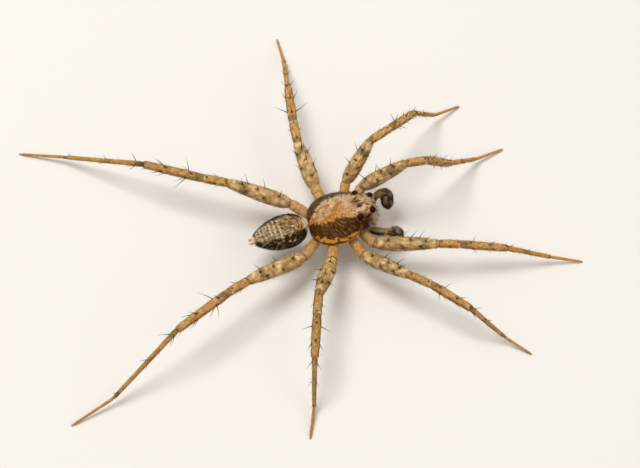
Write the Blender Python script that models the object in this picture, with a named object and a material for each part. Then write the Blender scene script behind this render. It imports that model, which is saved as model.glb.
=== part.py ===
"""An adult male thin-legged wolf spider at life size, standing still on eight spread legs.

Metres, +Z up, head towards +X, the spider's left towards +Y, feet on the plane z = 0.
The sizes below are millimetres and degrees, in a frame whose origin is on the floor
under the middle of the body; the empty at the end moves the whole to its box's centre.
"""

import math

import bmesh
import bpy
from mathutils import Matrix, Vector

MM = 0.001
CUT = 0.03  # the thin cut between neighbouring pieces
AHEAD = Vector((1, 0, 0))
ACROSS = Vector((0, 1, 0))
UPWARD = Vector((0, 0, 1))

# Front shield of the body: it tilts head up, and its margin lies in one plane.
CARAPACE_TILT = 6.5
MARGIN_HEIGHT = 2.38  # of the margin's plane above the floor, under the middle
ARCH_POINTS = 15  # points over the arch of one cross-section
CARAPACE_SECTIONS = (  # x, half-width at the margin, height, squareness of the arch
    (-1.74, 0.50, 0.30, 2.0),
    (-1.65, 0.83, 0.47, 1.9),
    (-1.47, 1.14, 0.68, 1.8),
    (-1.18, 1.43, 0.90, 1.7),
    (-0.80, 1.62, 1.09, 1.65),
    (-0.38, 1.71, 1.18, 1.65),
    (0.05, 1.72, 1.21, 1.75),
    (0.48, 1.63, 1.23, 1.95),
    (0.88, 1.44, 1.27, 2.3),
    (1.22, 1.23, 1.31, 2.7),
    (1.55, 1.03, 1.32, 2.9),
    (1.85, 0.89, 1.30, 3.0),
    (2.10, 0.76, 1.22, 3.0),
    (2.24, 0.65, 1.06, 2.9),
    (2.31, 0.57, 0.86, 2.8),
    (2.35, 0.50, 0.62, 2.7),
    (2.37, 0.44, 0.36, 2.6),
)

# Eyes: centre in the carapace's own frame (x, y, height over the margin) and radius.
EYES = {
    "posterior_lateral_eye": ((1.36, 0.81, 1.06), 0.19),
    "posterior_median_eye": ((2.17, 0.48, 1.02), 0.185),
    "anterior_lateral_eye": ((2.33, 0.38, 0.56), 0.075),
    "anterior_median_eye": ((2.335, 0.14, 0.60), 0.09),
}
SOCKET_CLEARANCE = 0.02

# Underside of the front body.
STERNUM_CENTRE_X = 0.0
STERNUM_HALF_LENGTH = 1.12
STERNUM_HALF_WIDTH = 0.60
STERNUM_LEVELS = ((1.36, 0.62), (1.46, 0.88), (1.66, 1.0))  # height, share of the outline
STERNUM_SIDES = 24
ROUND_SIDES = 12  # of the chelicerae, mouthparts, waist and spinneret base
SLIM_SIDES = 8  # of the fangs and spinneret fingers
MOUTHPART_SECTIONS = (  # x, half-width, half-height, height of the axis
    (1.19, 0.26, 0.20, 1.72),
    (1.33, 0.33, 0.27, 1.72),
    (1.57, 0.34, 0.28, 1.68),
    (1.75, 0.29, 0.23, 1.65),
    (1.90, 0.20, 0.16, 1.62),
)
CHELICERA_SECTIONS = (  # height, x, half-depth, half-width
    (2.56, 2.08, 0.20, 0.24),
    (2.42, 2.13, 0.23, 0.26),
    (2.10, 2.16, 0.23, 0.26),
    (1.75, 2.16, 0.20, 0.24),
    (1.45, 2.15, 0.17, 0.19),
    (1.30, 2.14, 0.11, 0.12),
)
CHELICERA_Y = 0.29
FANG_PATH = ((2.14, 0.25, 1.26), (2.13, 0.19, 1.12), (2.06, 0.12, 1.03), (1.95, 0.07, 1.00))
FANG_RADII = (0.075, 0.065, 0.048, 0.022)

# Rear body, along its own axis from the waist to the tail.
ABDOMEN_FRONT = (-1.90, -0.08, 2.34)
ABDOMEN_YAW = 6.0  # the tail swings to the spider's right
ABDOMEN_PITCH = 1.5
ABDOMEN_SECTIONS = (  # distance behind the waist, half-width, top, bottom
    (0.00, 0.30, 0.24, -0.22),
    (0.10, 0.52, 0.46, -0.37),
    (0.30, 0.74, 0.67, -0.55),
    (0.68, 0.94, 0.84, -0.73),
    (1.12, 1.02, 0.91, -0.84),
    (1.58, 1.01, 0.88, -0.84),
    (2.05, 0.91, 0.77, -0.77),
    (2.50, 0.73, 0.60, -0.62),
    (2.86, 0.53, 0.42, -0.45),
    (3.12, 0.33, 0.25, -0.27),
)
ABDOMEN_SIDES = 18
PEDICEL_RADIUS = 0.15
PEDICEL_START_X = -1.785
SPINNERET_BASE = ((0.0, 0.24), (0.10, 0.22), (0.18, 0.15))  # distance behind the tail, radius
SPINNERET_ROOT = 0.06  # a finger starts this far inside the base
SPINNERET_REACH = 0.30
SPINNERET_TAPER = ((0.0, 1.0), (0.75, 0.95), (1.0, 0.6))  # share of the reach, of the radius
SPINNERET_RADIUS = 0.075
SPINNERET_PLACES = ((0.11, 0.07), (-0.11, 0.07), (0.10, -0.10), (-0.10, -0.10))
SPINNERET_SPLAY = 9.0

# Legs: pairs are numbered from the front.
LEG_SIDES = 10
HIPS = {  # x, distance from the midline, height of the joint between trochanter and femur
    1: (1.84, 1.92, 2.08),
    2: (1.03, 2.46, 1.95),
    3: (-0.79, 2.42, 2.02),
    4: (-2.38, 1.80, 1.84),
}
COXA_BEARINGS = {1: 33.0, 2: 68.0, 3: 106.0, 4: 144.0}  # round the sternum, from straight ahead
COXA_DROP = 0.16  # a coxa starts this much below its hip
LEG_LENGTHS = {  # femur, patella, tibia, metatarsus, tarsus
    1: (3.75, 1.30, 2.85, 2.85, 1.85),
    2: (3.20, 1.45, 2.70, 2.80, 1.85),
    3: (3.10, 1.40, 2.60, 3.15, 1.85),
    4: (3.95, 1.50, 3.80, 5.50, 2.80),
}
# Pose: the bearing of each segment from straight ahead, positive to the left, then the
# rise of femur, patella and tibia over the horizontal, then the height of the ankle.
LEG_POSES = {
    ("left", 1): ((-9, 2, 25, 26, 16), (46, -8, -53), 0.42),
    ("left", 2): ((34, 25, 39, 28, 21), (49, -2, -31), 0.71),
    ("left", 3): ((98, 89, 85, 84, 91), (8, 1, -9), 0.52),
    ("left", 4): ((157, 156, 150, 149, 158), (19, 0, -6), 0.57),
    ("right", 1): ((-15, -8, -11, -13, -13), (6, -10, -12), 0.58),
    ("right", 2): ((-43, -39, -44, -37, -41), (12, 2, -6), 0.58),
    ("right", 3): ((-118, -106, -105, -103, -109), (22, -2, -5), 0.42),
    ("right", 4): ((-159, -152, -153, -152, -160), (16, 13, -1), 0.59),
}
TIP_HEIGHT = 0.20  # of a foot's axis at its tip; the tube is cut off flat at the floor
COXA_PROFILE = ((0.0, 0.23), (0.30, 0.28), (0.71, 0.34), (0.78, 0.31), (0.84, 0.34), (1.0, 0.32))
FEMUR_PROFILE = ((0.0, 0.32), (0.10, 0.41), (0.28, 0.48), (0.55, 0.46), (0.80, 0.37), (1.0, 0.30))
PATELLA_PROFILE = ((0.0, 0.28), (0.50, 0.31), (1.0, 0.27))
TIBIA_PROFILE = ((0.0, 0.27), (0.22, 0.30), (0.60, 0.28), (1.0, 0.265))
METATARSUS_PROFILE = ((0.0, 0.265), (0.50, 0.265), (1.0, 0.265))
TARSUS_PROFILE = ((0.0, 0.265), (0.60, 0.265), (1.0, 0.262))

# Palps: joints of the arm from its root (trochanter, femur, patella, tibia), then the
# cymbium's tip.
PALP_JOINTS = {
    "left": (
        (1.70, 0.60, 1.72),
        (1.86, 0.84, 1.86),
        (2.52, 1.00, 2.36),
        (2.90, 1.17, 2.46),
        (3.24, 1.25, 2.22),
    ),
    "right": (
        (1.70, -0.60, 1.72),
        (1.86, -0.86, 1.82),
        (2.54, -1.24, 1.98),
        (2.86, -1.20, 1.84),
        (3.14, -1.06, 1.52),
    ),
}
CYMBIUM_TIPS = {"left": (3.22, 0.62, 1.28), "right": (3.64, -0.92, 0.60)}
PALP_PROFILE = ((0.0, 0.25), (0.5, 0.265), (1.0, 0.26))
CYMBIUM_PROFILE = (
    (0.0, 0.24),
    (0.22, 0.33),
    (0.40, 0.385),
    (0.60, 0.36),
    (0.82, 0.25),
    (0.95, 0.13),
    (1.0, 0.06),
)

FINISHES = {  # base colour, roughness
    "carapace": ((0.24, 0.13, 0.06), 0.55),
    "abdomen": ((0.30, 0.24, 0.16), 0.75),
    "leg": ((0.52, 0.36, 0.20), 0.60),
    "underside": ((0.46, 0.33, 0.22), 0.65),
    "palp": ((0.07, 0.06, 0.055), 0.60),
    "spinneret": ((0.55, 0.36, 0.20), 0.60),
    "fang": ((0.09, 0.03, 0.015), 0.25),
    "eye": ((0.005, 0.005, 0.006), 0.08),
}


def clear_scene():
    for obj in list(bpy.data.objects):
        bpy.data.objects.remove(obj)


def new_material(name, colour, roughness):
    material = bpy.data.materials.new(name)
    material.use_nodes = True
    shader = material.node_tree.nodes["Principled BSDF"]
    shader.inputs["Base Color"].default_value = (*colour, 1.0)
    shader.inputs["Roughness"].default_value = roughness
    shader.inputs["Metallic"].default_value = 0.0
    return material


def add_object(name, bm, finish):
    """One node: the bmesh, in millimetres, becomes a mesh in metres with its own material."""
    bmesh.ops.scale(bm, vec=(MM, MM, MM), verts=bm.verts)
    bmesh.ops.recalc_face_normals(bm, faces=bm.faces)
    mesh = bpy.data.meshes.new(name)
    bm.to_mesh(mesh)
    bm.free()
    mesh.shade_smooth()
    mesh.set_sharp_from_angle(angle=math.radians(40))
    mesh.materials.append(new_material(name, *FINISHES[finish]))
    obj = bpy.data.objects.new(name, mesh)
    bpy.context.scene.collection.objects.link(obj)
    return obj


def loft(rings):
    """A closed body through rings of points that all have the same count."""
    bm = bmesh.new()
    loops = [[bm.verts.new(point) for point in ring] for ring in rings]
    count = len(loops[0])
    for lower, upper in zip(loops, loops[1:]):
        for i in range(count):
            j = (i + 1) % count
            bm.faces.new((lower[i], lower[j], upper[j], upper[i]))
    bm.faces.new(loops[0][::-1])
    bm.faces.new(loops[-1])
    return bm


def ring_about(centre, across, upward, half_width, half_height, sides):
    """Points of an ellipse round a centre, in the plane of two unit vectors."""
    points = []
    for i in range(sides):
        angle = 2 * math.pi * i / sides
        points.append(
            centre + across * half_width * math.cos(angle) + upward * half_height * math.sin(angle)
        )
    return points


def direction(bearing, rise):
    """Unit vector at a bearing from straight ahead and a rise over the horizontal."""
    bearing, rise = math.radians(bearing), math.radians(rise)
    level = math.cos(rise)
    return Vector((level * math.cos(bearing), level * math.sin(bearing), math.sin(rise)))


def side_frame(along):
    """Unit vectors across and over a limb that runs this way."""
    across = UPWARD.cross(along).normalized()
    return across, along.cross(across)


def slide_to_plane(points, along, centre, normal):
    """Points moved along a limb into the plane through the centre with this normal."""
    return [p - along * ((p - centre).dot(normal) / along.dot(normal)) for p in points]


def limb(joints, profiles, start_normal=None, end_normal=None):
    """A tube of straight segments, mitred where they meet and parted by half a cut at each end."""
    axes = [(b - a).normalized() for a, b in zip(joints, joints[1:])]
    planes = [start_normal or axes[0]]
    planes += [(a + b).normalized() for a, b in zip(axes, axes[1:])]
    planes += [end_normal or axes[-1]]
    rings = []
    for k, (along, profile) in enumerate(zip(axes, profiles)):
        across, upward = side_frame(along)
        length = (joints[k + 1] - joints[k]).length
        ends = (joints[k], planes[k]), (joints[k + 1], planes[k + 1])
        for share, radius in profile:
            centre = joints[k] + along * length * share
            ring = ring_about(centre, across, upward, radius, radius, LEG_SIDES)
            if share in (0.0, 1.0):
                ring = slide_to_plane(ring, along, *ends[int(share)])
            if share > 0.0 or k == 0:
                rings.append(ring)
    rings[0] = [p + axes[0] * CUT / 2 for p in rings[0]]
    rings[-1] = [p - axes[-1] * CUT / 2 for p in rings[-1]]
    return loft(rings)


def carapace_frame():
    return Matrix.Translation((0, 0, MARGIN_HEIGHT)) @ Matrix.Rotation(
        math.radians(-CARAPACE_TILT), 4, "Y"
    )


def arch(x, half_width, height, squareness):
    """One cross-section of the carapace: a squared half-ellipse, closed along the margin."""
    points = []
    for i in range(ARCH_POINTS):
        angle = math.pi * i / (ARCH_POINTS - 1)
        across, over = math.cos(angle), math.sin(angle)
        y = half_width * math.copysign(abs(across) ** (2 / squareness), across)
        points.append(Vector((x, y, height * abs(over) ** (2 / squareness))))
    return points


def add_balls(bm, centre, radius):
    """A ball on each side of the midline."""
    for side in (-1, 1):
        place = Matrix.Translation((centre[0], side * centre[1], centre[2]))
        bmesh.ops.create_icosphere(bm, subdivisions=2, radius=radius, matrix=place)


def make_sockets():
    """The cutter for the eyes' sockets."""
    bm = bmesh.new()
    for centre, radius in EYES.values():
        add_balls(bm, centre, radius + SOCKET_CLEARANCE)
    bmesh.ops.transform(bm, matrix=carapace_frame(), verts=bm.verts)
    cutter = add_object("eye_socket_cutter", bm, "eye")
    cutter.hide_render = True
    cutter.display_type = "WIRE"
    return cutter


def make_carapace():
    bm = loft([arch(*section) for section in CARAPACE_SECTIONS])
    bmesh.ops.transform(bm, matrix=carapace_frame(), verts=bm.verts)
    carapace = add_object("carapace", bm, "carapace")
    sockets = carapace.modifiers.new("eye sockets", "BOOLEAN")
    sockets.operation = "DIFFERENCE"
    sockets.object = make_sockets()


def make_eyes():
    for name, (centre, radius) in EYES.items():
        for label, side in (("left", 1), ("right", -1)):
            bm = bmesh.new()
            place = Matrix.Translation((centre[0], side * centre[1], centre[2]))
            bmesh.ops.create_icosphere(bm, subdivisions=2, radius=radius, matrix=place)
            bmesh.ops.transform(bm, matrix=carapace_frame(), verts=bm.verts)
            add_object(f"{label}_{name}", bm, "eye")


def margin_height(x):
    """Height over the floor of the carapace's flat underside."""
    return MARGIN_HEIGHT + x * math.tan(math.radians(CARAPACE_TILT))


def sternum_edge(bearing, share=1.0):
    """A point of the sternum's outline, at a bearing round its centre."""
    angle = math.radians(bearing)
    x = STERNUM_CENTRE_X + share * STERNUM_HALF_LENGTH * math.cos(angle)
    return x, share * STERNUM_HALF_WIDTH * math.sin(angle)


def make_sternum():
    bearings = [360 * i / STERNUM_SIDES for i in range(STERNUM_SIDES)]
    rings = []
    for height, share in STERNUM_LEVELS:
        rings.append([Vector((*sternum_edge(b, share), height)) for b in bearings])
    top = [sternum_edge(b) for b in bearings]
    rings.append([Vector((x, y, margin_height(x) - CUT)) for x, y in top])
    add_object("sternum", loft(rings), "underside")


def make_mouthparts():
    rings = []
    for x, half_width, half_height, height in MOUTHPART_SECTIONS:
        centre = Vector((x, 0, height))
        rings.append(ring_about(centre, ACROSS, UPWARD, half_width, half_height, ROUND_SIDES))
    add_object("mouthparts", loft(rings), "underside")


def make_chelicera(label, side):
    rings = []
    for height, x, half_depth, half_width in CHELICERA_SECTIONS:
        centre = Vector((x, side * CHELICERA_Y, height))
        rings.append(ring_about(centre, AHEAD, ACROSS, half_depth, half_width, ROUND_SIDES))
    add_object(f"{label}_chelicera", loft(rings), "underside")


def make_fang(label, side):
    joints = [Vector((x, side * y, z)) for x, y, z in FANG_PATH]
    before = joints[:1] + joints[:-1]
    after = joints[1:] + joints[-1:]
    rings = []
    for joint, last, following, radius in zip(joints, before, after, FANG_RADII):
        along = (following - last).normalized()
        across = along.cross(AHEAD).normalized()
        rings.append(ring_about(joint, across, along.cross(across), radius, radius, SLIM_SIDES))
    add_object(f"{label}_fang", loft(rings), "fang")


def abdomen_frame():
    """From the abdomen's own axis, which runs back along -X from its front, to the body."""
    turn = Matrix.Rotation(math.radians(ABDOMEN_YAW), 4, "Z")
    rise = Matrix.Rotation(math.radians(ABDOMEN_PITCH), 4, "Y")
    return Matrix.Translation(ABDOMEN_FRONT) @ turn @ rise


def make_abdomen():
    rings = []
    for back, half_width, top, bottom in ABDOMEN_SECTIONS:
        centre = Vector((-back, 0, (top + bottom) / 2))
        half_height = (top - bottom) / 2
        rings.append(ring_about(centre, ACROSS, UPWARD, half_width, half_height, ABDOMEN_SIDES))
    bm = loft(rings)
    bmesh.ops.transform(bm, matrix=abdomen_frame(), verts=bm.verts)
    add_object("abdomen", bm, "abdomen")


def make_pedicel():
    front = Vector((PEDICEL_START_X, 0, ABDOMEN_FRONT[2]))
    back = Vector(ABDOMEN_FRONT) + AHEAD * CUT
    rings = []
    for centre in (front, (front + back) / 2, back):
        rings.append(ring_about(centre, ACROSS, UPWARD, PEDICEL_RADIUS, PEDICEL_RADIUS, ROUND_SIDES))
    add_object("pedicel", loft(rings), "underside")


def make_finger(number, root, tip):
    """One finger of the spinnerets: a cutter that the base is joined with."""
    along = (tip - root).normalized()
    side, over = side_frame(along)
    rings = []
    for share, fullness in SPINNERET_TAPER:
        radius = SPINNERET_RADIUS * fullness
        rings.append(ring_about(root.lerp(tip, share), side, over, radius, radius, SLIM_SIDES))
    bm = loft(rings)
    bmesh.ops.transform(bm, matrix=abdomen_frame(), verts=bm.verts)
    finger = add_object(f"spinneret_finger_{number}", bm, "spinneret")
    finger.hide_render = True
    finger.display_type = "WIRE"
    return finger


def make_spinnerets():
    """A short base at the tail, joined with two pairs of fingers."""
    back, _, top, bottom = ABDOMEN_SECTIONS[-1]
    centre = Vector((-back - CUT, 0, (top + bottom) / 2))
    rings = []
    for distance, radius in SPINNERET_BASE:
        rings.append(ring_about(centre - AHEAD * distance, ACROSS, UPWARD, radius, radius, ROUND_SIDES))
    bm = loft(rings)
    bmesh.ops.transform(bm, matrix=abdomen_frame(), verts=bm.verts)
    base = add_object("spinnerets", bm, "spinneret")
    for number, (y, z) in enumerate(SPINNERET_PLACES, 1):
        root = centre - AHEAD * SPINNERET_ROOT + ACROSS * y + UPWARD * z
        turn = Matrix.Rotation(math.radians(-math.copysign(SPINNERET_SPLAY, y)), 3, "Z")
        tip = root + turn @ -AHEAD * SPINNERET_REACH
        join = base.modifiers.new(f"finger {number}", "BOOLEAN")
        join.operation = "UNION"
        join.object = make_finger(number, root, tip)


def leg_joints(label, pair):
    """The leg's joints from hip to tip: the ankle's height and the floor set its last two rises."""
    side = 1 if label == "left" else -1
    x, y, z = HIPS[pair]
    bearings, rises, ankle = LEG_POSES[label, pair]
    lengths = LEG_LENGTHS[pair]
    joints = [Vector((x, side * y, z))]
    for bearing, rise, length in zip(bearings, rises, lengths):
        joints.append(joints[-1] + direction(bearing, rise) * length)
    for bearing, height, length in zip(bearings[3:], (ankle, TIP_HEIGHT), lengths[3:]):
        rise = math.degrees(math.asin((height - joints[-1].z) / length))
        joints.append(joints[-1] + direction(bearing, rise) * length)
    return joints


def coxa_root(label, pair):
    """Where a coxa leaves the sternum, and the normal of the sternum's edge there."""
    side = 1 if label == "left" else -1
    x, y = sternum_edge(COXA_BEARINGS[pair])
    slope_x = (x - STERNUM_CENTRE_X) / STERNUM_HALF_LENGTH**2
    slope_y = side * y / STERNUM_HALF_WIDTH**2
    normal = Vector((slope_x, slope_y, 0)).normalized()
    root = Vector((x, side * y, HIPS[pair][2] - COXA_DROP))
    return root + normal * CUT, normal


def cut_at_floor(bm):
    """The flat that the foot stands on."""
    geometry = bm.verts[:] + bm.edges[:] + bm.faces[:]
    cut = bmesh.ops.bisect_plane(
        bm, geom=geometry, dist=1e-5, plane_co=(0, 0, 0), plane_no=(0, 0, -1), clear_outer=True
    )
    edges = [part for part in cut["geom_cut"] if isinstance(part, bmesh.types.BMEdge)]
    bmesh.ops.holes_fill(bm, edges=edges, sides=0)


def make_leg(label, pair):
    name = f"{label}_leg_{pair}"
    joints = leg_joints(label, pair)
    root, normal = coxa_root(label, pair)
    axes = [(b - a).normalized() for a, b in zip([root, *joints], joints)]
    mitres = [(a + b).normalized() for a, b in zip(axes, axes[1:])]
    coxa = limb([root, joints[0]], [COXA_PROFILE], normal, mitres[0])
    add_object(f"{name}_coxa", coxa, "leg")
    femur = limb(joints[0:2], [FEMUR_PROFILE], mitres[0], mitres[1])
    add_object(f"{name}_femur", femur, "leg")
    tibia = limb(joints[1:4], [PATELLA_PROFILE, TIBIA_PROFILE], mitres[1], mitres[3])
    add_object(f"{name}_tibia", tibia, "leg")
    foot = limb(joints[3:6], [METATARSUS_PROFILE, TARSUS_PROFILE], mitres[3])
    cut_at_floor(foot)
    add_object(f"{name}_foot", foot, "leg")


def make_palp(label):
    joints = [Vector(point) for point in PALP_JOINTS[label]]
    tip = Vector(CYMBIUM_TIPS[label])
    wrist = joints[-1]
    mitre = ((wrist - joints[-2]).normalized() + (tip - wrist).normalized()).normalized()
    arm = limb(joints, [PALP_PROFILE] * 4, end_normal=mitre)
    add_object(f"{label}_palp", arm, "palp")
    cymbium = limb([wrist, tip], [CYMBIUM_PROFILE], start_normal=mitre)
    add_object(f"{label}_palp_cymbium", cymbium, "palp")


def centre_on_floor():
    """Parent everything to one empty that brings the middle of the box over the origin."""
    nodes = [obj for obj in bpy.context.scene.objects if not obj.hide_render]
    corners = [vertex.co for obj in nodes for vertex in obj.data.vertices]
    middle = [(min(c[i] for c in corners) + max(c[i] for c in corners)) / 2 for i in range(2)]
    stand = bpy.data.objects.new("spider", None)
    bpy.context.scene.collection.objects.link(stand)
    for obj in list(bpy.context.scene.objects):
        if obj.type == "MESH":
            obj.parent = stand
    stand.location = (-middle[0], -middle[1], 0)


def main():
    clear_scene()
    make_carapace()
    make_eyes()
    make_sternum()
    make_mouthparts()
    make_pedicel()
    make_abdomen()
    make_spinnerets()
    for label, side in (("left", 1), ("right", -1)):
        make_chelicera(label, side)
        make_fang(label, side)
        make_palp(label)
        for pair in HIPS:
            make_leg(label, pair)
    centre_on_floor()


main()
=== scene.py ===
"""A life-size adult male wolf spider: skins, eyes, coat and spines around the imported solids.

Shapes are worked out in millimetres in the body's own frame: +X ahead, +Y to the spider's
left, +Z up, with the origin on the floor under the middle of the sternum. A finished piece is
moved into the frame and scaled to metres. Every skin is a formula: u runs from 0 to 1 along
the part and v once round it, and the coat grows out of the same formula.
"""

import functools
import itertools
import math
from collections import namedtuple

import bmesh
import bpy
import numpy as np
from mathutils import Matrix, Vector


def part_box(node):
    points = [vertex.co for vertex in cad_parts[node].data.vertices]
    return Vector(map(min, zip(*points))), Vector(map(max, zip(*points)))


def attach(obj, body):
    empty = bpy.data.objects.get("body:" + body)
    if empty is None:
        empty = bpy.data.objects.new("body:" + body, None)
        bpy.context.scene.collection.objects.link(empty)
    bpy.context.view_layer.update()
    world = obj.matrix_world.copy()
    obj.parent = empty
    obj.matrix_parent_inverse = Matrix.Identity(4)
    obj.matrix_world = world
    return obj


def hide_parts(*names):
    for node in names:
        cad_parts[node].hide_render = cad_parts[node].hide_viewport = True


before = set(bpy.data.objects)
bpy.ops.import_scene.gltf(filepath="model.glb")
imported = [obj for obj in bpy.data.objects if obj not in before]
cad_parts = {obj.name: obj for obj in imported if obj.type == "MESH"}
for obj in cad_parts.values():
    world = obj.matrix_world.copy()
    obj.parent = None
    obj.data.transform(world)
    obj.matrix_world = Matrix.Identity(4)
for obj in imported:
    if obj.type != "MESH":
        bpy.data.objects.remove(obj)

bl_info = {
    "name": "Wolf Spider",
    "version": (1, 0, 0),
    "blender": (4, 5, 0),
    "location": "View3D > Sidebar > Wolf Spider",
    "description": "Builds the skin, eyes, coat and spines of a life-size wolf spider",
    "category": "Add Mesh",
}

MM = 0.001
FLOOR_GAP = 0.012  # millimetres that claws, spines and hair stay over the floor
WELD = 0.0005  # millimetres within which a skin's seam and ends are closed
SIDES = (("left", 1), ("right", -1))
X, _, Z = np.eye(3)

# Front shield, in its own frame: x ahead, y left, z over the plane of its margin.
SHIELD_TILT = 6.5
SHIELD_HEIGHT = 2.38
SHIELD = (  # x, half-width at the margin, height, squareness, from back to front
    (-1.75, 0.48, 0.28, 2.0),
    (-1.65, 0.83, 0.47, 1.9),
    (-1.47, 1.14, 0.68, 1.8),
    (-1.18, 1.43, 0.90, 1.7),
    (-0.80, 1.62, 1.09, 1.65),
    (-0.38, 1.71, 1.18, 1.65),
    (0.05, 1.72, 1.21, 1.75),
    (0.48, 1.63, 1.23, 1.95),
    (0.88, 1.44, 1.27, 2.3),
    (1.22, 1.23, 1.31, 2.7),
    (1.55, 1.03, 1.32, 2.9),
    (1.85, 0.89, 1.30, 3.0),
    (2.10, 0.76, 1.22, 3.0),
    (2.24, 0.65, 1.06, 2.9),
    (2.31, 0.57, 0.86, 2.8),
    (2.35, 0.50, 0.62, 2.7),
    (2.37, 0.44, 0.36, 2.6),
)
SHIELD_TOP = 0.86  # share of the columns that lie over the arch
FOVEA = (-0.93, 0.19)  # middle and half-length of the groove on the back
FURROWS = ((26, 7, 0.045), (58, 9, 0.03), (92, 9, 0.03), (130, 10, 0.03))  # bearing, width, depth
MIDDLE_HALF = {  # x with the distance of the dark sides from the middle line, left and right
    1: ((-1.75, -1.47, -0.93, -0.30, 0.30, 0.90, 1.25), (0.04, 0.14, 0.58, 0.88, 0.92, 0.80, 0.72)),
    -1: (
        (-1.75, -1.36, -0.70, -0.27, 0.10, 0.43, 0.79, 1.2),
        (0.10, 0.31, 0.60, 0.60, 0.47, 0.50, 0.62, 0.70),
    ),
}
BELT_TOP = ((-1.7, -1.2, -0.5, 0.2, 0.9, 1.3, 1.8), (0.20, 0.40, 0.47, 0.42, 0.40, 0.30, 0.14))
WHORL = (-0.07, 0.10, 1.20)  # where the hair of the shield parts
SHIELD_INSET = 0.035
EYES = {  # centre in the shield's frame, radius
    "posterior_lateral_eye": ((1.36, 0.81, 1.06), 0.19),
    "posterior_median_eye": ((2.17, 0.48, 1.02), 0.185),
    "anterior_lateral_eye": ((2.33, 0.38, 0.56), 0.075),
    "anterior_median_eye": ((2.335, 0.14, 0.60), 0.09),
}

# Rear body, along its own axis from the waist to the tail. Turns are from the top of the back.
ABDOMEN_FRONT = (-1.90, -0.08, 2.34)
ABDOMEN_INSET = 0.015
ABDOMEN_GIRTH = 0.9  # radius taken for measures round it
ABDOMEN_YAW = 6.0
ABDOMEN_PITCH = 1.5
ABDOMEN = (  # distance behind the waist, half-width, top, bottom
    (0.00, 0.30, 0.24, -0.22),
    (0.10, 0.52, 0.46, -0.37),
    (0.30, 0.74, 0.67, -0.55),
    (0.68, 0.94, 0.84, -0.73),
    (1.12, 1.02, 0.91, -0.84),
    (1.58, 1.01, 0.88, -0.84),
    (2.05, 0.91, 0.77, -0.77),
    (2.50, 0.73, 0.60, -0.62),
    (2.86, 0.53, 0.42, -0.45),
    (3.12, 0.33, 0.25, -0.27),
)
FLANK_TURN = ((0.0, 0.3, 1.0, 2.0, 3.1), (30.0, 37.0, 43.0, 44.0, 50.0))  # where the black starts
BARS = (1.64, 1.92, 2.17, 2.36, 2.54, 2.75, 2.93)  # places of the white bars over the tail
SPOTS = (  # distance behind the waist, turn, half-length, half-width
    (0.36, 30, 0.05, 0.05), (0.50, 10, 0.07, 0.05), (0.60, 24, 0.07, 0.05), (0.80, 20, 0.08, 0.06),
    (0.93, 6, 0.05, 0.04), (1.12, 20, 0.15, 0.07), (1.28, 34, 0.06, 0.05), (1.50, 8, 0.06, 0.05),
    (1.78, 24, 0.07, 0.14), (2.04, 14, 0.05, 0.12), (2.27, 20, 0.045, 0.12), (2.45, 16, 0.035, 0.1),
    (2.64, 18, 0.04, 0.1), (2.84, 18, 0.035, 0.08),
)
SPINNERETS = (  # y, z, reach and radius of each finger
    (0.11, 0.07, 0.33, 0.07), (-0.11, 0.07, 0.33, 0.07), (0.10, -0.10, 0.30, 0.075),
    (-0.10, -0.10, 0.30, 0.075), (0.04, -0.02, 0.22, 0.04), (-0.04, -0.02, 0.22, 0.04),
)
FINGER = ((0, 1), (0.9, 1), (1.0, 0.85), (1.8, 0.7), (2, 0.4))  # places and shares of its radius
FLECKS = (  # distances and turns of the white spots
    (0.96, 32), (1.40, 22), (1.50, 34), (1.22, 64), (1.62, 57), (1.84, 64), (2.06, 56),
    (2.28, 66), (2.50, 57), (2.70, 64), (0.90, 68),
)

# Underside and mouth.
WAIST = ((-1.60, 0, 2.30), (-1.80, -0.03, 2.33), (-2.05, -0.08, 2.34))
STERNUM_HALF = (1.12, 0.60)  # length and width
STERNUM = (  # share of the way from the crown below to the middle on top, height, reach
    (0.00, 1.38, 0.00),
    (0.35, 1.42, 0.82),
    (0.50, 1.56, 0.95),
    (0.60, 1.70, 0.97),
    (0.90, 2.28, 0.97),
    (1.00, 2.29, 0.00),
)
MAXILLA = ((1.20, 0.22, 1.78), (1.52, 0.21, 1.66), (1.86, 0.14, 1.60))
LABIUM = ((1.16, 0, 1.66), (1.36, 0, 1.56), (1.52, 0, 1.55))
CHELICERA = (  # height, x, half-depth, half-width
    (2.56, 2.08, 0.20, 0.24),
    (2.42, 2.13, 0.23, 0.26),
    (2.10, 2.16, 0.23, 0.26),
    (1.75, 2.16, 0.20, 0.24),
    (1.45, 2.15, 0.17, 0.19),
    (1.30, 2.14, 0.11, 0.12),
)
CHELICERA_Y = 0.29
CHELICERA_INSET = 0.035
FANG = ((2.14, 0.25, 1.30), (2.13, 0.19, 1.12), (2.06, 0.12, 1.03), (1.95, 0.07, 1.00))

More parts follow.
